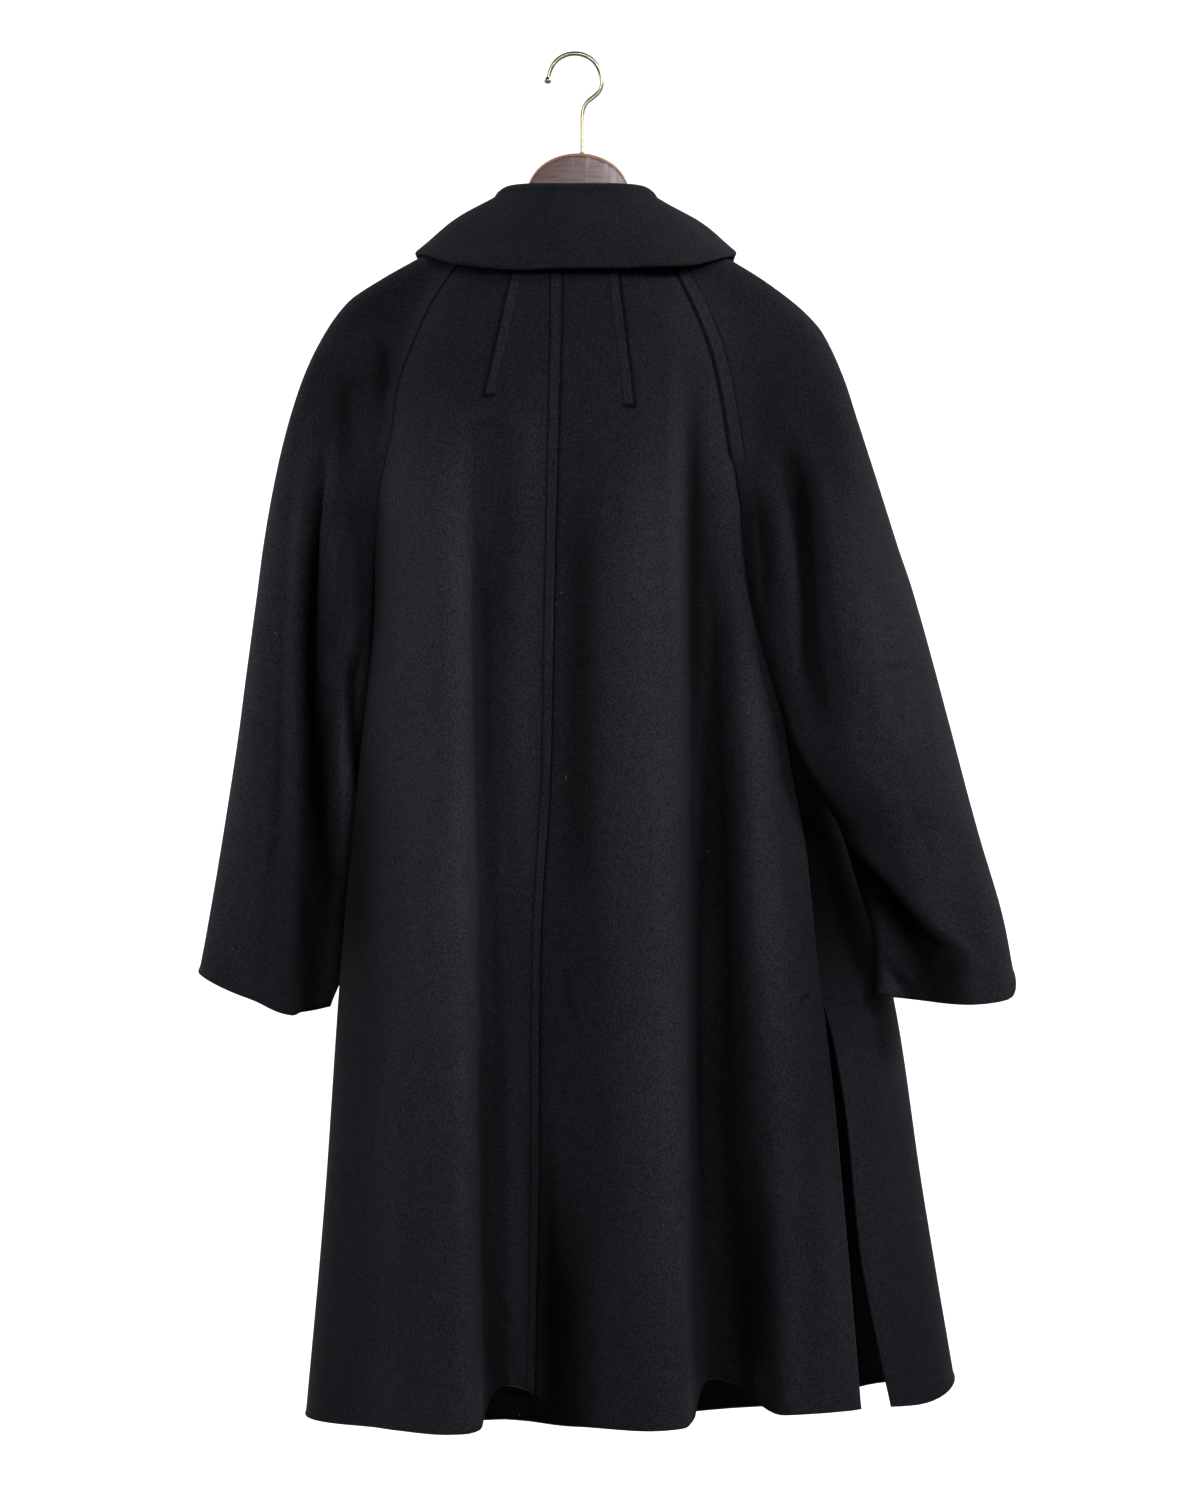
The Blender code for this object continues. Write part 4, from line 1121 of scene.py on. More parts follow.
# Neck darts: tucks laid flat on the back, each with a folded edge, a sewn line and a bar at its end
darts = {
    "columns": ("topX", "topZ", "lowX", "lowZ"),
    "left": (-46, -184, -75, -316),
    "right": (29, -184, 46, -326),
    "width": 10.0,
    "thick": (0.08, 0.95),
    "seat": 0.06,
    # line: painted shadow beside the folded edge; inner: painted shade along the sewn line; pale: painted
    # highlight over the tuck
    "line": {"left": 0.6, "right": 0.85},
    "lineWidth": 1.0,
    "inner": 0.35,
    "innerLine": (0.6, 0.9),
    "pale": 0.25,
    "bar": 0.7,
    "barRun": (0.98, 0.99),
    "edgeGap": 0.5,
    "edgeWidth": 1.4,
    "edgeEnd": (0.99, 1.02),
    "edgeSink": 0.7,
    "rows": 70,
    "across": 17,
}

# Cloth: half of its thickness, more where an edge is folded back, the welts with their sunk lines
# of stitches, a painted highlight on a welt and painted shade past its stitches and beside a lapped
# edge, and how far a lapped edge reaches over its neighbour
cloth = {
    "half": 1.2,
    "fold": 0.75,
    "foldWidth": 7.0,
    "foldBand": 0.22,
    "foldSteps": 8,
    "welt": 11.0,
    "weltRise": 0.9,
    "weltSoft": 1.6,
    "weltPale": 0.18,
    "weltEdge": 1.5,
    "groove": 0.55,
    "grooveWidth": 0.9,
    "stitchGap": 0.6,
    "stitchLine": 0.5,
    "sunkGap": 0.8,
    "sunkWidth": 1.2,
    "foldLine": 0.6,
    "foldLineAt": 0.4,
    "foldLineWidth": 2.0,
    "lapOver": 2.4,
    "lapLineWidth": 1.5,
    "underLap": 13.0,
    "underSink": 2.1,
    "underRun": (-6.0, 7.0),
    "fineShare": 0.085,
    "fineColumns": 18,
    "spanSteps": 41,
}


# Columns from 0 to 1, closer together beside the edges and in the band that carry stitching
def clothColumns(count, fineStart, fineEnd, band=None):
    share, fine = cloth["fineShare"], cloth["fineColumns"]
    low, high = (share if fineStart else 0.0), (1 - share if fineEnd else 1.0)
    stops = np.linspace(low, high, count)
    parts = [stops]
    if band:
        outside = (stops < band[0]) | (stops > band[1])
        parts = [np.sort(np.concatenate([stops[outside], np.linspace(*band, fine)]))]
    if fineStart:
        parts.insert(0, np.linspace(0, low, fine)[:-1])
    if fineEnd:
        parts.append(np.linspace(high, 1, fine)[1:])
    return np.concatenate(parts)


# Rows from the neck to the hem or cuff, closer together where the edge is folded
def clothRows(yoke, below, lowerRows):
    start, end = cut["yokeRows"], cut["yokeRows"] + lowerRows
    return np.concatenate([
        np.linspace(0, start, yoke)[:-1],
        np.linspace(start, end - cloth["foldBand"], below)[:-1],
        np.linspace(end - cloth["foldBand"], end, cloth["foldSteps"]),
    ])


# Width of a panel along each row, as the sum of short steps across it
def spanOf(surface, rows):
    steps = surface(*np.meshgrid(np.linspace(0, 1, cloth["spanSteps"]), rows))
    return np.linalg.norm(np.diff(steps, axis=1), axis=2).sum(axis=1)[:, None]


# A lapped seam seen from its edge: a raised strip that ends in a sunk line of stitches
def welt(fromEdge, width, rise, groove):
    strip = rise * (1 - ease(width - cloth["weltSoft"], width + cloth["weltSoft"], fromEdge))
    return strip - groove * bell(fromEdge - width - cloth["stitchGap"], cloth["grooveWidth"])


# Where painted shade lies beside a welt, just past its stitches
def sunkLine(fromEdge, width):
    return bell(fromEdge - width - cloth["sunkGap"], cloth["sunkWidth"])


# Extra half thickness near a folded edge
def foldedEdge(distance):
    return cloth["fold"] * (1 - ease(0, cloth["foldWidth"], distance))


# Distance down each column from a point to the lower edge, as a sum of its steps
def fromLowerEdge(points):
    steps = np.linalg.norm(np.diff(points, axis=0), axis=2)
    return np.concatenate([np.cumsum(steps[::-1], axis=0)[::-1], np.zeros((1, points.shape[1]))])


# A panel's points moved along their normals by the given lift
def lifted(points, lift, middle):
    return points + gridNormals(points, middle) * lift[..., None]


# The sleeves' seams on the back: a raised strip with a line of painted shade on each side of it, down to
# endZ
raglanWelt = {
    "right": {"width": 9.5, "rise": 1.5, "groove": 0.9, "endZ": -366.0, "line": 0.75, "sunk": 0.5625},
    "left": {"width": 9.0, "rise": 0.3, "groove": 0.1, "endZ": -352.0, "line": 0.75, "sunk": 0.1125},
    "endRun": 6.0,
}


# 1 where the sleeve is lapped over the back, 0 below the end of its welt
def raglanLap(side, z):
    end = raglanWelt[side]["endZ"]
    return ease(end - raglanWelt["endRun"], end, z)


# 1 just outside the folded edge of a neck dart, falling off across it and past its end
def fromDart(side, x, z):
    dart = dict(zip(darts["columns"], darts[side]))
    along = (z - dart["topZ"]) / (dart["lowZ"] - dart["topZ"])
    outer = signs[side] * (x - blend(dart["topX"], dart["lowX"], along)) - 0.5 * darts["width"]
    return bell(outer - darts["edgeGap"], darts["edgeWidth"]) * (1 - ease(*darts["edgeEnd"], along))


# Side vents: where they start, and the stitches that close their tops, a short slant on the back and
# a bar on the front, each from its high to its low level with a turn round the body
vent = {
    "top": -840.0,
    "run": 20.0,
    "bars": (("back", -844.0, -855.0, -4.0), ("front", -845.0, -851.0, 9.0)),
    "barSteps": 30,
    "barRise": 0.5,
}

# Back panels: the left one is lapped over the right one at the centre. Creases fade towards the seams,
# and the right one's side edge stands up a little below the sleeve
backCloth = {
    "columns": 76,
    "yoke": 100,
    "skirt": 164,
    "dartBand": (0.51, 0.62),
    "creaseFromSeam": 26.0,
    "creaseAtCentre": 0.5,
    "creaseCentreWidth": 12.0,
    "sideRise": 1.5,
    "sideWidth": 9.0,
    "sideLevels": (-430.0, -400.0),
}


def makeBack(side):
    rows = clothRows(backCloth["yoke"], backCloth["skirt"], cut["skirtRows"])
    columns = clothColumns(backCloth["columns"], True, True, backCloth["dartBand"])
    across, row = np.meshgrid(columns, rows)
    surface = bodyPanel(side, "back")
    span = spanOf(surface, rows)
    if side == "right":
        across = across + cloth["underLap"] / span * np.clip(1 - (1 - across) / cloth["fineShare"], 0, 1)
    points = surface(across, row)
    x, z = points[..., 0], points[..., 2]
    fromSeam, fromCentre = across * span, (1 - across) * span
    lift = fineHeight(x, z, "back") * ease(0, backCloth["creaseFromSeam"], fromSeam)
    lift = lift * (1 - backCloth["creaseAtCentre"] * bell(fromCentre, backCloth["creaseCentreWidth"]))
    if side == "left":
        lift = lift + welt(fromCentre, cloth["welt"], cloth["weltRise"], cloth["groove"])
    else:
        lift = lift - cloth["underSink"] * (1 - ease(*cloth["underRun"], fromCentre))
        sideEdge = (1 - ease(0, backCloth["sideWidth"], fromSeam)) * (1 - ease(*backCloth["sideLevels"], z))
        lift = lift + backCloth["sideRise"] * sideEdge
    half = cloth["half"] + foldedEdge(fromLowerEdge(points))
    half = half + foldedEdge(fromSeam) * (1 - ease(vent["top"] - vent["run"], vent["top"], z))
    atDart = fromDart(side, x, z)
    points = lifted(points, lift - darts["edgeSink"] * atDart, cut["bodyMiddle"])
    x, z = points[..., 0], points[..., 2]
    # Painted shade beside a dart's folded edge and beside the sleeve's lapped edge; on the left a painted
    # highlight on the centre welt and painted shade past its stitches, on the right painted shade beside
    # the lapped centre edge; then the painted light and shade along the folds
    lapLine = bell(fromSeam - cloth["lapOver"] - cloth["stitchGap"], cloth["lapLineWidth"])
    paintedLightAndShade = 1 - darts["line"][side] * atDart
    paintedLightAndShade = paintedLightAndShade * (1 - raglanWelt[side]["line"] * raglanLap(side, z) * lapLine)
    if side == "left":
        strip = 1 - ease(cloth["welt"] - cloth["weltEdge"], cloth["welt"], fromCentre)
        paintedLightAndShade = paintedLightAndShade * (1 + cloth["weltPale"] * strip)
        paintedLightAndShade = paintedLightAndShade * (1 - cloth["stitchLine"] * sunkLine(fromCentre, cloth["welt"]))
    else:
        foldLine = bell(fromCentre - cloth["foldLineAt"], cloth["foldLineWidth"])
        paintedLightAndShade = paintedLightAndShade * (1 - cloth["foldLine"] * foldLine)
    paintedLightAndShade = paintedLightAndShade * paintedShadeAt(x, z, "back")
    shape = clothShell(points, half, cut["bodyMiddle"], paintedLightAndShade)
    return makeCloth(f"coat_back_{side}", shape, woolCloth, "wool", [f"back_{side}"])


# Fronts: a line of stitches beside the front edge, shallower creases round the side, and a painted
# shadow of the sleeve where the front lies under it
frontCloth = {
    "columns": 62,
    "yoke": 64,
    "skirt": 130,
    "creaseFromSeam": 30.0,
    "creaseFromEdge": 60.0,
    "sideY": -20.0,
    "sideShare": 0.6,
    "edgeStitch": 9.0,
    "paintedShade": 0.9,
    "paintedShadeLevels": (-950.0, -735.0),
    "paintedShadeReach": (120.0, 180.0),
    "paintedShadeDepth": (-25.0, 30.0),
}


def makeFront(side):
    rows = clothRows(frontCloth["yoke"], frontCloth["skirt"], cut["skirtRows"])
    across, row = np.meshgrid(clothColumns(frontCloth["columns"], False, True), rows)
    surface = bodyPanel(side, "front")
    span = spanOf(surface, rows)
    points = surface(across, row)
    fromSeam, fromEdge = across * span, (1 - across) * span
    lift = fineHeight(points[..., 0], points[..., 2], "front")
    lift = lift * ease(0, frontCloth["creaseFromSeam"], fromSeam)
    lift = lift * ease(0, frontCloth["creaseFromEdge"], fromEdge)
    lift = lift * np.where(points[..., 1] > frontCloth["sideY"], 1, frontCloth["sideShare"])
    lift = lift - cloth["groove"] * bell(fromEdge - frontCloth["edgeStitch"], cloth["grooveWidth"])
    half = cloth["half"] + foldedEdge(fromLowerEdge(points)) + foldedEdge(fromEdge)
    points = lifted(points, lift, cut["bodyMiddle"])
    x, y, z = np.moveaxis(points, -1, 0)
    # Painted shadow of the sleeve on the front's side
    paintedShade = ease(*frontCloth["paintedShadeLevels"], z) * (1 - ease(*frontCloth["paintedShadeReach"], fromSeam))
    paintedShade = paintedShade * (1 - ease(*frontCloth["paintedShadeDepth"], y))
    paintedLightAndShade = paintedShadeAt(x, z, "front") * (1 - frontCloth["paintedShade"] * paintedShade)
    shape = clothShell(points, half, cut["bodyMiddle"], paintedLightAndShade)
    return makeCloth(f"coat_front_{side}", shape, woolCloth, "wool", [f"front_{side}"])


# Sleeves: the right one has painted shade where it lies beside the back panel, and along its inner seam
# below
sleeveCloth = {
    "columns": 56,
    "yoke": 96,
    "cuff": 110,
    "creaseFromSeam": (4.0, 24.0),
    "creaseFromOuter": 20.0,
    "paintedShade": 0.6,
    "paintedShadeReach": (6.0, 36.0),
    "paintedShadeLow": (-620.0, -540.0),
    "paintedShadeHigh": (-420.0, -350.0),
    "innerSeam": 0.65,
    "innerSeamReach": {"back": (4.0, 18.0), "front": (24.0, 60.0)},
}


def makeSleeve(side, face):
    name, middle = side + face, cut["sleeveMiddle"][side]
    rows = clothRows(sleeveCloth["yoke"], sleeveCloth["cuff"], cut["cuffRows"])
    across, row = np.meshgrid(clothColumns(sleeveCloth["columns"], face == "back", False), rows)
    surface = sleeveHalf(side, face)
    span = spanOf(surface, rows)
    seam = raglanWelt[side]
    if face == "back":
        lapped = raglanLap(side, surface(0 * across, row)[..., 2])
        across = across - cloth["lapOver"] / span * lapped * np.clip(1 - across / cloth["fineShare"], 0, 1)
    points = surface(across, row)
    x, z = points[..., 0], points[..., 2]
    fromSeam, fromOuter = across * span, (1 - across) * span
    lift = fineHeight(x, z, name) * ease(*sleeveCloth["creaseFromSeam"], fromSeam)
    lift = lift * ease(0, sleeveCloth["creaseFromOuter"], fromOuter)
    paintedLightAndShade = paintedShadeAt(x, z, name)
    if face == "back":
        lift = lift + welt(fromSeam, seam["width"], seam["rise"], seam["groove"]) * lapped
        # Painted shade in the groove past the welt's stitches
        paintedLightAndShade = paintedLightAndShade * (1 - seam["sunk"] * lapped * sunkLine(fromSeam, seam["width"]))
    if name == "rightback":
        # Painted shade under the flap's edge and beside the back panel
        drop = read(flap, "z", x) - z
        recess = ease(0, flap["roll"], drop) * (1 - ease(*flap["recess"], drop))
        recess = recess * (1 - ease(*flap["fade"], x))
        beside = (1 - ease(*sleeveCloth["paintedShadeReach"], fromSeam)) * ease(*sleeveCloth["paintedShadeLow"], z)
        beside = beside * (1 - ease(*sleeveCloth["paintedShadeHigh"], z))
        paintedLightAndShade = paintedLightAndShade * (1 - flap["recessShade"] * recess) * (1 - sleeveCloth["paintedShade"] * beside)
    # Painted shade along the inner seam of the right sleeve, below the underarm
    if side == "right":
        innerSeam = 1 - ease(*sleeveCloth["innerSeamReach"][face], fromSeam)
        innerSeam = innerSeam * (1 - ease(*sleeveCloth["paintedShadeLow"], z))
        paintedLightAndShade = paintedLightAndShade * (1 - sleeveCloth["innerSeam"] * innerSeam)
    half = cloth["half"] + foldedEdge(fromLowerEdge(points))
    shape = clothShell(lifted(points, lift, middle), half, middle, paintedLightAndShade)
    return makeCloth(f"coat_sleeve_{face}_{side}", shape, woolCloth, "wool", [f"sleeve_{face}_{side}"])


for side in signs:
    makeBack(side)
    makeFront(side)
    makeSleeve(side, "back")
    makeSleeve(side, "front")
print("panels and sleeves made")

# Lining: the stretch behind the hem and the vents, sewn on beside the side seam and hanging free, with
# two sets of soft rolls across it
lining = {
    "half": 0.5,
    "inset": 11.0,
    "seat": 0.35,
    "free": 0.25,
    "start": 0.004,
    "short": 0.02,
    "rows": (22.0, 26.5),
    "share": {"back_left": 1.0, "back_right": 1.0, "front_left": 0.56, "front_right": 0.42},
    "columnCount": 70,
    "rowCount": 46,
    "rollDepth": 1.5,
    "rollPitch": 31.0,
    "rollDrift": 0.004,
    "smallRoll": 0.6,
    "smallPitch": 0.61,
    "smallStart": 1.3,
}


def makeLining(side, face):
    panel = f"{face}_{side}"
    share = lining["share"][panel]
    columns = np.linspace(lining["start"], share - lining["short"], lining["columnCount"])
    across, row = np.meshgrid(columns, np.linspace(*lining["rows"], lining["rowCount"]))
    points = bodyPanel(side, face)(across, row)
    x, z = points[..., 0], points[..., 2]
    normals = gridNormals(points, cut["bodyMiddle"])
    out, _ = outward(*panelPlace(side, face, across, row))
    inward = -np.stack([*out, np.zeros(across.shape)], axis=-1)
    sewn = points - normals * (cloth["half"] + 2 * cloth["fold"] + lining["seat"] + lining["half"])
    rolls = np.sin(x / lining["rollPitch"] * 2 * np.pi + lining["rollDrift"] * z)
    smallPitch = lining["smallPitch"] * lining["rollPitch"]
    rolls = rolls + lining["smallRoll"] * np.sin(x / smallPitch * 2 * np.pi + lining["smallStart"])
    hung = points + inward * (lining["inset"] + lining["rollDepth"] * rolls)[..., None]
    free = ease(0, lining["free"], across / share)[..., None]
    shape = clothShell(blend(sewn, hung, free), lining["half"], cut["bodyMiddle"])
    return makeCloth(f"coat_lining_{panel}", shape, satin, "lining", [f"lining_{panel}"])


for side in signs:
    for face in ("back", "front"):
        makeLining(side, face)
print("linings made")

# Collar: a stand up from the neck seam, a round roll and a bowed fall. Its edge waves a little and the
# leaf has shallow hollows, unevenly placed: each wave has a height, turns for a degree, and a start
collar = {
    "columns": ("angle", "rollOut", "rollBack", "rollZ", "fallOut", "fallBack", "fallZ"),
    "rows": (
        (0, 0, -60, -126, 0, -103, -206),
        (30, 34, -54, -125, 74, -93, -203),
        (60, 58, -34, -124, 124, -60, -191),
        (90, 66, 0, -126, 144, 0, -180),
        (120, 61, 38, -133, 138, 60, -194),
        (150, 40, 72, -166, 100, 100, -236),
        (171, 10, 87, -196, 62, 114, -286),
    ),
    "mid": -1.0,
    "end": 171.0,
    "seat": 1.05,
    "roll": 6.2,
    "bow": 2.4,
    "half": 2.0,
    "edge": 0.5,
    "edgeWidth": 22.0,
    "edgeWaves": ((0.9, 0.071, 0.6), (0.6, 0.19, 2.0)),
    "hollows": ((0.9, 0.083, 1.0), (0.7, 0.151, 0.3)),
    "neckSteps": 40,
    "around": 230,
    "stand": 10,
    "turn": 14,
    "fall": 34,
}


# Neck edge of the panels, all the way round from one front to the other
def neckRing():
    t = np.linspace(0, 1, collar["neckSteps"])
    parts = []
    for side, sign in signs.items():
        for surface in (bodyPanel(side, "back"), sleeveHalf(side, "back"), sleeveHalf(side, "front")):
            parts.append(surface(t, 0 * t))
        edge = bodyPanel(side, "front")(t, 0 * t)
        parts.append(edge[sign * (edge[:, 0] - collar["mid"]) > 0])
    return np.concatenate(parts)


# Sum of sine waves round the collar
def waves(rows, angle):
    return sum(height * np.sin(angle * turns + start) for height, turns, start in rows)


def makeCollar():
    ring = neckRing()
    angle = np.linspace(-collar["end"], collar["end"], collar["around"])
    sign, turn = np.sign(angle), np.abs(angle)
    ringAngle = np.degrees(np.arctan2(ring[:, 0] - collar["mid"], -ring[:, 1]))
    order = np.argsort(ringAngle)
    base = np.stack([np.interp(angle, ringAngle[order], ring[order, i]) for i in range(3)], axis=-1)
    base[:, 2] += cloth["half"] + collar["seat"]
    size = {name: read(collar, name, turn) for name in collar["columns"][1:]}
    roll = np.stack([collar["mid"] + sign * size["rollOut"], size["rollBack"], size["rollZ"]], axis=-1)
    fall = np.stack([collar["mid"] + sign * size["fallOut"], size["fallBack"], size["fallZ"]], axis=-1)
    fall[:, 2] += waves(collar["edgeWaves"], angle)
    out = unit((fall - roll) * np.array([1.0, 1.0, 0.0]))
    up = np.array([0.0, 0.0, 1.0])
    top = collar["roll"] * up
    standEnd = roll - collar["roll"] * out - top
    fallStart = roll + collar["roll"] * out - top
    rows = [blend(base, standEnd, t) for t in np.linspace(0, 1, collar["stand"])[:-1]]
    for t in np.linspace(0, np.pi, collar["turn"]):
        rows.append(roll - top + collar["roll"] * (np.sin(t) * up - np.cos(t) * out))
    hollow = waves(collar["hollows"], angle)
    for t in np.linspace(0, 1, collar["fall"])[1:]:
        bow = collar["bow"] * np.sin(np.pi * t) + hollow * np.sin(np.pi * t) ** 2
        rows.append(blend(fallStart, fall, t) + bow[:, None] * (out + up))
    points = np.stack(rows)
    half = collar["half"] + collar["edge"] * (1 - ease(0, collar["edgeWidth"], fromLowerEdge(points)))
    shape = clothShell(points, half, (collar["mid"], 0.0))
    return makeCloth("coat_collar", shape, woolCloth, "wool", ["collar"])


makeCollar()
print("collar made")


# Points of the back at x and z, with the outward normals of the cloth's outer face
def onBack(x, z):
    step = 0.5
    points = np.stack([*bodyPoint(angleAt(x, z, "back"), z), z], axis=-1)
    east = np.stack([*bodyPoint(angleAt(x + step, z, "back"), z), z], axis=-1)
    north = np.stack([*bodyPoint(angleAt(x, z + step, "back"), z + step), z + step], axis=-1)
    normals = unit(np.cross(east - points, north - points))
    normals = normals * np.where(normals[..., 1:2] > 0, -1, 1)
    return points + normals * (cloth["half"] + fineHeight(x, z, "back"))[..., None], normals


# Points along a dart, moved sideways from its middle
def dartLine(side, sideways, along):
    dart = dict(zip(darts["columns"], darts[side]))
    x = blend(dart["topX"], dart["lowX"], along) + sideways
    return onBack(x, blend(dart["topZ"], dart["lowZ"], along) + 0 * sideways)


# The tuck is flush along its inner side and stands up along its outer, folded side
def makeDart(side):
    share = np.linspace(0, 1, darts["across"])[None, :]
    along = np.linspace(0, 1, darts["rows"])[:, None] + 0 * share
    sideways = signs[side] * (share - 0.5) * darts["width"] + 0 * along
    low, normals = dartLine(side, sideways, along)
    half = blend(*darts["thick"], share) + 0 * along
    fromInner, fromOuter = share * darts["width"], (1 - share) * darts["width"]
    innerAt, innerWidth = darts["innerLine"]
    # Painted shadow beside the folded edge, painted shade along the sewn line, a painted highlight over the
    # tuck, and the bar darker at its end
    paintedLightAndShade = 1 - darts["line"][side] * bell(fromOuter, darts["lineWidth"]) + 0 * along
    paintedLightAndShade = paintedLightAndShade * (1 - darts["inner"] * bell(fromInner - innerAt, innerWidth))
    paintedLightAndShade = paintedLightAndShade * (1 + darts["pale"]) * (1 - darts["bar"] * ease(*darts["barRun"], along))
    points = low + normals * (half + darts["seat"])[..., None]
    shape = clothShell(points, half, cut["bodyMiddle"], paintedLightAndShade)
    return makeCloth(f"coat_dart_{side}", shape, woolCloth, "wool", [f"neck_dart_{side}"])


for side in signs:
    makeDart(side)

# Stitches: short spindles of thread along a path, half sunk in the cloth. The spindle gives each
# station's place along the stitch and its share of the radius; bars are rows across a dart's end
stitch = {
    "pitch": 3.4,
    "length": 2.5,
    "radius": 0.34,
    "sides": 5,
    "spindle": ((-0.5, 0.12), (-0.36, 0.8), (0.0, 1.0), (0.36, 0.8), (0.5, 0.12)),
    "aim": 0.8,
    "sink": 0.15,
    "hemGap": 0.3,
    "backStart": 0.05,
    "frontStart": 0.2,
    "panelSteps": 300,
    "raglanRows": (0.3, 6.3),
    "raglanSteps": 140,
    "dartSteps": 80,
    "dartRise": 0.1,
    "barSpan": (-0.45, 0.5),
    "barSteps": 20,
    "barPlaces": (0.996, 1.003, 1.010),
    "barRise": 1.3,
}


# Angles of a full circle, evenly spaced
def fullTurn(count):
    return np.linspace(0, 2 * np.pi, count, endpoint=False)


# Length along a path up to each of its points
def pathLength(path):
    return np.concatenate([[0], np.cumsum(np.linalg.norm(np.diff(path, axis=0), axis=1))])


# Values at the given lengths along a path
def alongPath(at, length, values):
    return np.stack([np.interp(at, length, values[:, i]) for i in range(values.shape[1])], axis=-1)


# Each stitch is a ring of sides at every station of the spindle, closed by a fan at both ends
def stitchRow(path, normals):
    length = pathLength(path)
    count = max(1, int(length[-1] / stitch["pitch"]))
    at = (np.arange(count) + 0.5) * length[-1] / count
    middle = alongPath(at, length, path)
    ahead = alongPath(at + stitch["aim"], length, path)
    behind = alongPath(at - stitch["aim"], length, path)
    up = unit(alongPath(at, length, normals))
    along = unit(ahead - behind)
    beside = np.cross(along, up)
    turn = fullTurn(stitch["sides"])
    ring = np.cos(turn)[None, :, None] * up[:, None] + np.sin(turn)[None, :, None] * beside[:, None]
    parts = []
    for place, size in stitch["spindle"]:
        centre = middle + along * place * stitch["length"]
        parts.append(centre[:, None] + ring * stitch["radius"] * size)
    vertices = np.stack(parts, axis=1).reshape(-1, 3)
    sides, stations = stitch["sides"], len(stitch["spindle"])
    first = np.arange(count)[:, None] * stations * sides
    walls = (first[..., None] + gridQuads(stations, sides, wrap=True)[None]).reshape(-1, 4)
    caps = []
    for station, order in ((0, -1), (stations - 1, 1)):
        for k in range(1, sides - 1):
            caps.append((first + station * sides + np.array([[0, k, k + 1]]))[:, ::order])
    return vertices, facingOut(vertices, [walls, np.concatenate(caps)])


# A path on a panel at a set distance from its seam or centre edge
def panelPath(surface, rows, distance, fromCentre, middle):
    step = 0.004
    span = spanOf(surface, rows)[:, 0]
    at = 1 - distance / span if fromCentre else distance / span
    across = at[:, None] + np.array([[-step, 0.0, step]])
    points = surface(across, np.repeat(rows[:, None], 3, axis=1))
    normals = gridNormals(points, middle)[:, 1]
    return points[:, 1] + normals * (cloth["half"] - stitch["sink"]), normals


def ventBars(side):
    bars = []
    for face, high, low, turn in vent["bars"]:
        share = np.linspace(0, 1, vent["barSteps"])
        z = blend(high, low, share)
        angle = sideAngle(side, face, z) + signs[side] * np.radians(turn) * share
        out, _ = outward(angle, z)
        normals = np.stack([*out, 0 * z], axis=-1)
        points = np.stack([*bodyPoint(angle, z), z], axis=-1)
        bars.append(stitchRow(points + normals * (cloth["half"] + vent["barRise"]), normals))
    return bars


# Along the folded edge of a dart, and rows of bar tacks across its end
def dartStitches(side):
    along = np.linspace(0, 1, stitch["dartSteps"])
    outer = signs[side] * (0.5 * darts["width"] + darts["edgeGap"])
    low, normals = dartLine(side, outer + 0 * along, along)
    sewn = [stitchRow(low + normals * stitch["dartRise"], normals)]
    across = np.linspace(*stitch["barSpan"], stitch["barSteps"]) * darts["width"]
    for place in stitch["barPlaces"]:
        low, normals = dartLine(side, across, place + 0 * across)
        sewn.append(stitchRow(low + normals * stitch["barRise"], normals))
    return sewn


def makeStitching():
    lastRow = cut["yokeRows"] + cut["skirtRows"] - stitch["hemGap"]
    rows = np.linspace(stitch["backStart"], lastRow, stitch["panelSteps"])
    distance = cloth["welt"] + cloth["stitchGap"]
    path = panelPath(bodyPanel("left", "back"), rows, distance, True, cut["bodyMiddle"])
    parts = [stitchRow(*path)]
    rows = np.linspace(*stitch["raglanRows"], stitch["raglanSteps"])
    distance = raglanWelt["right"]["width"] + cloth["stitchGap"]
    path = panelPath(sleeveHalf("right", "back"), rows, distance, False, cut["sleeveMiddle"]["right"])
    parts.append(stitchRow(*path))
    rows = np.linspace(stitch["frontStart"], lastRow, stitch["panelSteps"])
    for side in signs:
        parts.extend(dartStitches(side))
        parts.extend(ventBars(side))
        path = panelPath(bodyPanel(side, "front"), rows, frontCloth["edgeStitch"], True, cut["bodyMiddle"])
        parts.append(stitchRow(*path))
    makePiece("coat_stitching", *joined(parts), thread, "wool")


makeStitching()
print("darts and stitching made")

# Buttons: turned discs with a rolled rim, a dished middle and four holes crossed by thread. The
# profile runs from the middle of the face over the rim to the middle of the back
button = {
    "radius": 12.5,
    "depth": 4.0,
    "spread": 58.0,
    "levels": (-330.0, -455.0, -580.0),
    "seat": 0.35,
    "profile": (
        (0.0, 0.62), (0.50, 0.58), (0.62, 0.62), (0.72, 0.92), (0.84, 1.0),
        (0.94, 0.86), (1.0, 0.5), (0.96, 0.16), (0.86, 0.0), (0.0, 0.0),
    ),
    "fitPoints": 24,
    "stations": 64,
    "faceStations": 40,
    "around": 64,
    "holePlace": 2.7,
    "holeDepth": 1.6,
    "holeEdge": (0.805, 1.4375),
    "threadRadius": 0.5,
    "threadLift": 0.35,
    "threadSteps": 9,
    "threadSides": 8,
}


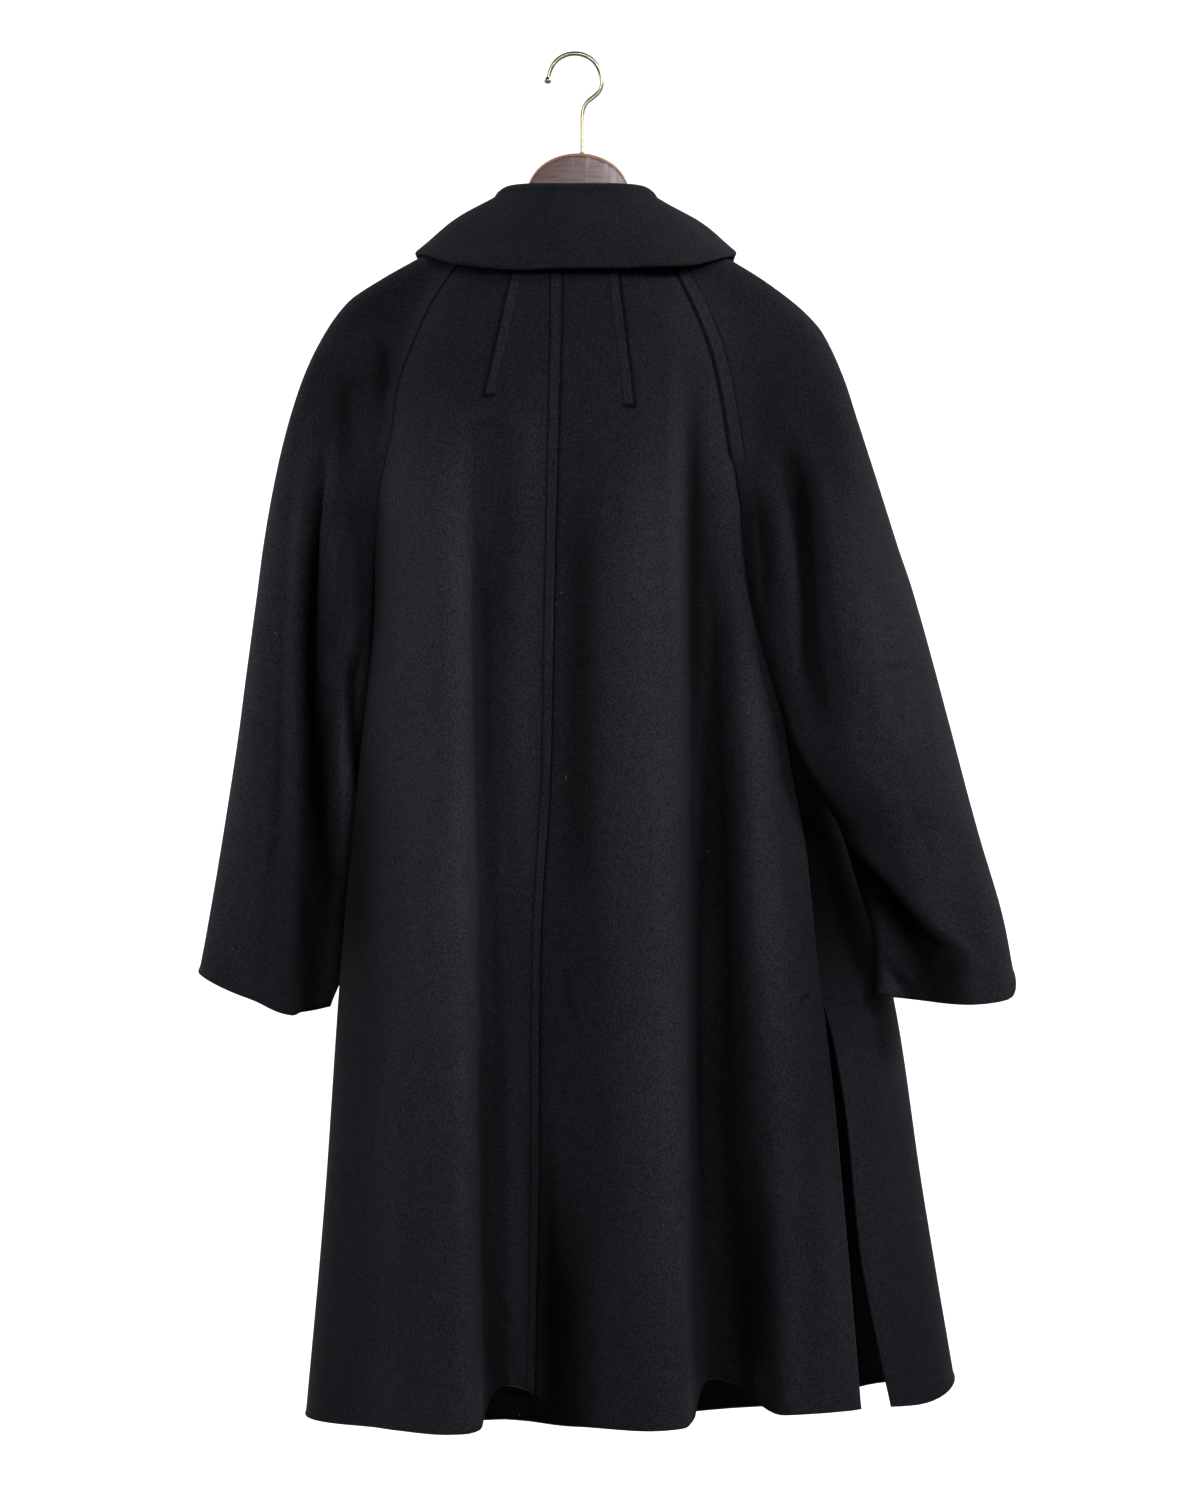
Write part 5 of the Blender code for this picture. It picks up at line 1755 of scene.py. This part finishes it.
# A disc on the plane that fits the cloth under it best, moved out until it clears the cloth
def makeButton(number, x, z):
    rim = fullTurn(button["fitPoints"])
    spots = np.c_[x + button["radius"] * np.cos(rim), z + button["radius"] * np.sin(rim)]
    spots = np.r_[spots, [[x, z]]]
    _, y = bodyPoint(angleAt(spots[:, 0], spots[:, 1], "front"), spots[:, 1])
    plane = np.c_[spots, np.ones(len(spots))]
    fit = np.linalg.lstsq(plane, y, rcond=None)[0]
    standOff = (y - plane @ fit).max() + lap["out"] + cloth["half"] + button["seat"]
    normal = unit(np.array([-fit[0], 1.0, -fit[1]]))
    seat = np.array([x, fit @ [x, z, 1.0], z]) + normal * standOff
    east = unit(np.cross([0.0, 0.0, 1.0], normal))
    north = np.cross(normal, east)
    profile = np.array(button["profile"])
    station = np.linspace(0, len(profile) - 1, button["stations"])[1:-1]
    reach, height = alongPath(station, np.arange(len(profile)), profile).T
    turn = fullTurn(button["around"])
    u = button["radius"] * reach[:, None] * np.cos(turn)
    v = button["radius"] * reach[:, None] * np.sin(turn)
    fromHole = np.hypot(np.abs(u) - button["holePlace"], np.abs(v) - button["holePlace"])
    onFace = (np.arange(len(reach)) < button["faceStations"])[:, None]
    holes = onFace * button["holeDepth"] * (1 - ease(*button["holeEdge"], fromHole))
    h = button["depth"] * height[:, None] - holes
    rings = seat + u[..., None] * east + v[..., None] * north + h[..., None] * normal
    makePiece(f"coat_button_{number}", *tube(rings), horn, "button", [f"button_{number}"])
    faceHeight = button["depth"] * button["profile"][0][1] + button["threadLift"]
    steps = np.linspace(-1, 1, button["threadSteps"])[:, None] * button["holePlace"]
    turn = fullTurn(button["threadSides"])[:, None]
    crossing = []
    for sign in signs.values():
        path = seat + normal * faceHeight + steps * east + sign * steps * north
        beside = np.cross(unit(path[-1] - path[0]), normal)
        ring = np.cos(turn) * normal + np.sin(turn) * beside
        crossing.append(tube(path[:, None] + button["threadRadius"] * ring[None]))
    makePiece(f"coat_button_thread_{number}", *joined(crossing), thread, "button")


places = [(z, sign * button["spread"]) for z in button["levels"] for sign in signs.values()]
for number, (z, spread) in enumerate(places, 1):
    makeButton(number, float(read(centreTable, "front", np.array(z))) + spread, z)
print("buttons made")

# Hanger: sections with round rims between an upper and a lower line in the XZ plane
hanger = {
    "mid": 1.0,
    "top": -88.0,
    "archHalf": 46.0,
    "archHeight": 36.0,
    "flank": (57.0, -151.0),
    "tipX": 222.0,
    "armDepths": (46.0, 24.0),
    "armLean": 10.0,
    "seat": 0.45,
    "hubDepth": 84.0,
    "halfDepth": 8.0,
    "round": 5.0,
    "tipStations": 9,
    "tipShare": 0.03,
    "armSteps": 80,
    "archSteps": 60,
    "cornerSteps": 7,
    "stations": 300,
}


# Evenly spaced points along a line through the given points
def resample(path, count):
    length = pathLength(path)
    return alongPath(np.linspace(0, length[-1], count), length, path)


# The arms lie under the shoulder edges of the sleeves, and the hub is an arch with two flanks
def hangerLines():
    arms, lower, flanks = {}, {}, {}
    flankX, flankZ = hanger["flank"]
    rows = np.linspace(0, cut["yokeRows"], hanger["armSteps"])
    for side, sign in signs.items():
        edge = sleeveHalf(side, "back")(np.ones(len(rows)), rows)[:, [0, 2]]
        tangent = unit(np.gradient(edge, axis=0))
        up = np.stack([-tangent[:, 1], tangent[:, 0]], axis=-1)
        up = up * np.where(up[:, 1:] < 0, -1, 1)
        arm = (edge - up * (cloth["half"] + hanger["seat"]))[np.abs(edge[:, 0]) < hanger["tipX"]]
        share = np.abs(arm[:, :1] - hanger["mid"]) / hanger["tipX"]
        lean = np.c_[-sign * hanger["armLean"] * share, -blend(*hanger["armDepths"], share)]
        arms[side], lower[side] = arm, arm + lean
        flanks[side] = np.array([[hanger["mid"] + sign * flankX, flankZ]])
    turn = np.linspace(np.pi, 0, hanger["archSteps"])
    archX = hanger["mid"] + hanger["archHalf"] * np.cos(turn)
    archZ = hanger["top"] - hanger["archHeight"] + hanger["archHeight"] * np.sin(turn)
    arch = np.c_[archX, archZ]
    hub = np.array([[hanger["mid"], hanger["top"] - hanger["hubDepth"]]])
    upper = np.concatenate([arms["left"][::-1], flanks["left"], arch, flanks["right"], arms["right"]])
    under = np.concatenate([lower["left"][::-1], hub, lower["right"]])
    return resample(upper, hanger["stations"]), resample(under, hanger["stations"])


# Each section is a rectangle with rounded corners, closing in a quarter circle at the tips
def makeHanger():
    upper, under = hangerLines()
    centre, half = (upper + under) / 2, (upper - under) / 2
    height = np.linalg.norm(half, axis=1, keepdims=True)
    up = half / height
    station = np.arange(hanger["stations"])
    fromTip = np.minimum(station, station[::-1])[:, None] / hanger["tipStations"]
    close = np.sqrt(1 - (1 - np.clip(fromTip, hanger["tipShare"], 1)) ** 2)
    corner = np.linspace(0, np.pi / 2, hanger["cornerSteps"])
    flat = hanger["halfDepth"] - hanger["round"]
    across, bend, end = [], [], []
    for quarter, (sideSign, endSign) in enumerate(((1, 1), (-1, 1), (-1, -1), (1, -1))):
        turned = corner + quarter * np.pi / 2
        across.append(np.cos(turned) * hanger["round"] + flat * sideSign)
        bend.append(np.sin(turned))
        end.append(np.full(len(corner), endSign))
    across, bend, end = np.concatenate(across), np.concatenate(bend), np.concatenate(end)
    reach = (bend * hanger["round"])[None] + end[None] * (height - hanger["round"]) * close
    rings = np.stack([
        centre[:, :1] + up[:, :1] * reach,
        across[None] * close + 0 * reach,
        centre[:, 1:] + up[:, 1:] * reach,
    ], axis=-1)
    made = makePiece("hanger_arms", *tube(rings), hangerFinish(), "hanger_wood", ["hanger"])
    # The rim is worn pale: 1 on the upper and lower edges, and at the two tips
    rim = np.concatenate([np.tile(np.abs(bend), hanger["stations"]), [1.0, 1.0]])
    made.data.attributes.new("rim", "FLOAT", "POINT").data.foreach_set("value", rim.astype(np.float32))


makeHanger()

# Hook: round wire in an open circle, bent back to its stem, with a small ball at the free end
hook = {
    "wire": 2.2,
    "radius": 24.2,
    "mid": (-2.0, -22.0),
    "turn": (176.0, -28.0),
    "neck": ((13.0, -38.5), (8.0, -42.5), (5.3, -47.0), (4.5, -52.0), (4.5, -70.0)),
    "footGap": 0.35,
    "ball": 3.5,
    "ballDrop": 1.8,
    "tipLength": 5.0,
    "tipLean": 0.6,
    "tipRadius": 0.35,
    "circleSteps": 90,
    "steps": 260,
    "smoothings": 24,
    "sides": 24,
}


# A path in the XZ plane, smoothed by averaging neighbours, with rings of wire or ball radius round it
def makeHook():
    turn = np.radians(np.linspace(*hook["turn"], hook["circleSteps"]))
    midX, midZ = hook["mid"]
    circle = np.c_[midX + hook["radius"] * np.cos(turn), midZ + hook["radius"] * np.sin(turn)]
    tip = circle[0] - np.array([[1.0], [0.5]]) * np.array([hook["tipLean"], hook["tipLength"]])
    foot = np.array([[hook["neck"][-1][0], hanger["top"] + hook["footGap"]]])
    path = resample(np.concatenate([tip, circle, np.array(hook["neck"]), foot]), hook["steps"])
    for _ in range(hook["smoothings"]):
        path[1:-1] = 0.25 * path[:-2] + 0.5 * path[1:-1] + 0.25 * path[2:]
    tangent = unit(np.gradient(path, axis=0))
    fromTip = np.linspace(0, 1, len(path)) * pathLength(path)[-1]
    ballAt = hook["tipLength"] - hook["ballDrop"]
    ball = np.sqrt(np.clip(hook["ball"] ** 2 - (fromTip - ballAt) ** 2, 0, None))
    size = np.maximum(ball, np.where(fromTip < ballAt, hook["tipRadius"], hook["wire"]))
    around = fullTurn(hook["sides"])
    inPlane = np.cos(around)[None] * size[:, None]
    rings = np.stack([
        path[:, :1] - tangent[:, 1:] * inPlane,
        np.sin(around)[None] * size[:, None],
        path[:, 1:] + tangent[:, :1] * inPlane,
    ], axis=-1)
    makePiece("hanger_hook", *tube(rings), brassFinish(), "hook_brass", ["hook"])


makeHook()
print("hanger and hook made")

# Flat cut of each piece in metres (width, length, area), and what it is sewn to or hangs from
sheets = {
    "back_left": (0.36, 1.08, 0.30, ["hanger_arms"]),
    "back_right": (0.36, 1.08, 0.285, ["hanger_arms"]),
    "front_left": (0.52, 1.10, 0.40, ["hanger_arms"]),
    "front_right": (0.52, 1.10, 0.41, ["hanger_arms"]),
    "sleeve_back_left": (0.22, 0.74, 0.11, ["hanger_arms"]),
    "sleeve_back_right": (0.24, 0.72, 0.115, ["hanger_arms"]),
    "sleeve_front_left": (0.20, 0.74, 0.10, ["hanger_arms"]),
    "sleeve_front_right": (0.21, 0.72, 0.105, ["hanger_arms"]),
    "collar": (0.62, 0.13, None, ["coat_back_left", "coat_back_right"]),
    "lining_back_left": (0.30, 0.21, None, ["coat_back_left"]),
    "lining_back_right": (0.285, 0.21, None, ["coat_back_right"]),
    "lining_front_left": (0.28, 0.21, None, ["coat_front_left"]),
    "lining_front_right": (0.19, 0.208, None, ["coat_front_right"]),
    "dart_left": (0.012, 0.126, None, ["coat_back_left"]),
    "dart_right": (0.012, 0.135, None, ["coat_back_right"]),
}
for name, (width, length, area, carriers) in sheets.items():
    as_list(carriers)

# Stage, in metres: a pale floor that sweeps up into a pale wall, clear from behind so that the front
# can be seen
stage = {
    "floorZ": -1.62,
    "nearY": -2.2,
    "wallY": 2.6,
    "sweep": 1.3,
    "sweepSteps": 24,
    "topZ": 3.2,
    "halfWidth": 3.6,
    "dark": tone(0.86, 0.86, 0.86),
    "pale": tone(0.90, 0.90, 0.90),
    "shade": (0.8, 2.0),
    "roughness": 0.9,
}


# Paint on the side that faces the coat, and nothing on the other
def stageFinish():
    finish = Finish("pale_floor")
    colour = finish.mix(finish.noise(*stage["shade"]), stage["dark"], stage["pale"])
    finish.shade(Base_Color=colour, Roughness=stage["roughness"])
    paint = Signal(finish, finish.shader.outputs[0])
    clear = finish.node("ShaderNodeBsdfTransparent")
    behind = finish.node("ShaderNodeNewGeometry", output="Backfacing")
    seen = finish.node("ShaderNodeMixShader", sockets={0: behind, 1: paint, 2: clear})
    finish.put(finish.tree.nodes["Material Output"].inputs["Surface"], seen)
    return finish.material


# A profile of floor, quarter circle and wall, drawn out to both sides
def makeStage():
    turn = np.linspace(-np.pi / 2, 0, stage["sweepSteps"])
    curveY = stage["wallY"] - stage["sweep"] * (1 - np.cos(turn))
    curveZ = stage["floorZ"] + stage["sweep"] * (1 + np.sin(turn))
    y = np.concatenate([[stage["nearY"]], curveY, [stage["wallY"]]])
    z = np.concatenate([[stage["floorZ"]], curveZ, [stage["topZ"]]])
    x = np.array([-stage["halfWidth"], stage["halfWidth"]])
    points = np.stack(np.broadcast_arrays(x, y[:, None], z[:, None]), axis=-1)
    mesh = bpy.data.meshes.new("floor_sweep")
    mesh.from_pydata(points.reshape(-1, 3).tolist(), [], gridQuads(len(y), 2).tolist())
    mesh.shade_smooth()
    mesh.materials.append(stageFinish())
    floor = bpy.data.objects.new("floor_sweep", mesh)
    bpy.context.scene.collection.objects.link(floor)


makeStage()

# Lights, in metres: a key from the right, a lamp above the camera, a weak one from the left, two lamps
# that whiten the wall, and a world that lights faintly but looks white where no wall stands
lights = {
    "columns": ("name", "place", "aim", "size", "watts", "spread"),
    "rows": (
        ("key", (3.9, -2.2, 1.4), (-0.08, 0.0, -0.60), 0.8, 6.3, 42.0),
        ("front", (0.6, -4.2, 0.9), (0.0, 0.0, -0.65), 0.8, 3.6, 42.0),
        ("left", (-3.9, -1.6, 0.4), (-0.15, 0.0, -0.65), 0.8, 1.7, 42.0),
        ("wallLeft", (-2.4, 0.9, 1.2), (-0.6, 2.6, -0.6), 1.6, 84.0, 150.0),
        ("wallRight", (2.4, 0.9, 1.2), (0.6, 2.6, -0.6), 1.6, 84.0, 150.0),
    ),
    "world": 0.015,
    "worldSeen": 1.0,
}


# Rotation that turns a lamp's -Z towards its aim
def aimed(place, aim):
    x, y, z = (a - p for a, p in zip(aim, place))
    return np.arctan2(np.hypot(x, y), -z), 0.0, np.arctan2(y, x) - np.pi / 2


def makeLights():
    for row in lights["rows"]:
        lamp = dict(zip(lights["columns"], row))
        data = bpy.data.lights.new(lamp["name"], "AREA")
        data.energy = lamp["watts"]
        data.size = lamp["size"]
        data.spread = np.radians(lamp["spread"])
        light = bpy.data.objects.new(lamp["name"], data)
        light.location = lamp["place"]
        light.rotation_euler = aimed(lamp["place"], lamp["aim"])
        bpy.context.scene.collection.objects.link(light)
    world = bpy.data.worlds.new("studio")
    world.use_nodes = True
    tree = world.node_tree
    tree.nodes["Background"].inputs["Color"].default_value = tone(1.0, 1.0, 1.0)
    rays = tree.nodes.new("ShaderNodeLightPath")
    strength = tree.nodes.new("ShaderNodeMapRange")
    strength.inputs["To Min"].default_value = lights["world"]
    strength.inputs["To Max"].default_value = lights["worldSeen"]
    tree.links.new(rays.outputs["Is Camera Ray"], strength.inputs["Value"])
    tree.links.new(strength.outputs["Result"], tree.nodes["Background"].inputs["Strength"])
    bpy.context.scene.world = world
    bpy.context.scene.view_settings.view_transform = "Standard"


makeLights()

# Camera: level with the coat's middle, square to its back, with 1.35 m in the height of the picture
camera = {"place": (0.0207, -3.2, -0.6246), "sensor": 36.0, "inView": 1.35}


def makeCamera():
    data = bpy.data.cameras.new("camera")
    data.sensor_fit = "VERTICAL"
    data.sensor_height = camera["sensor"]
    data.lens = camera["sensor"] * -camera["place"][1] / camera["inView"]
    eye = bpy.data.objects.new("camera", data)
    eye.location = camera["place"]
    eye.rotation_euler = (np.pi / 2, 0.0, 0.0)
    bpy.context.scene.collection.objects.link(eye)
    bpy.context.scene.camera = eye


makeCamera()
print("stage, lights and camera made")
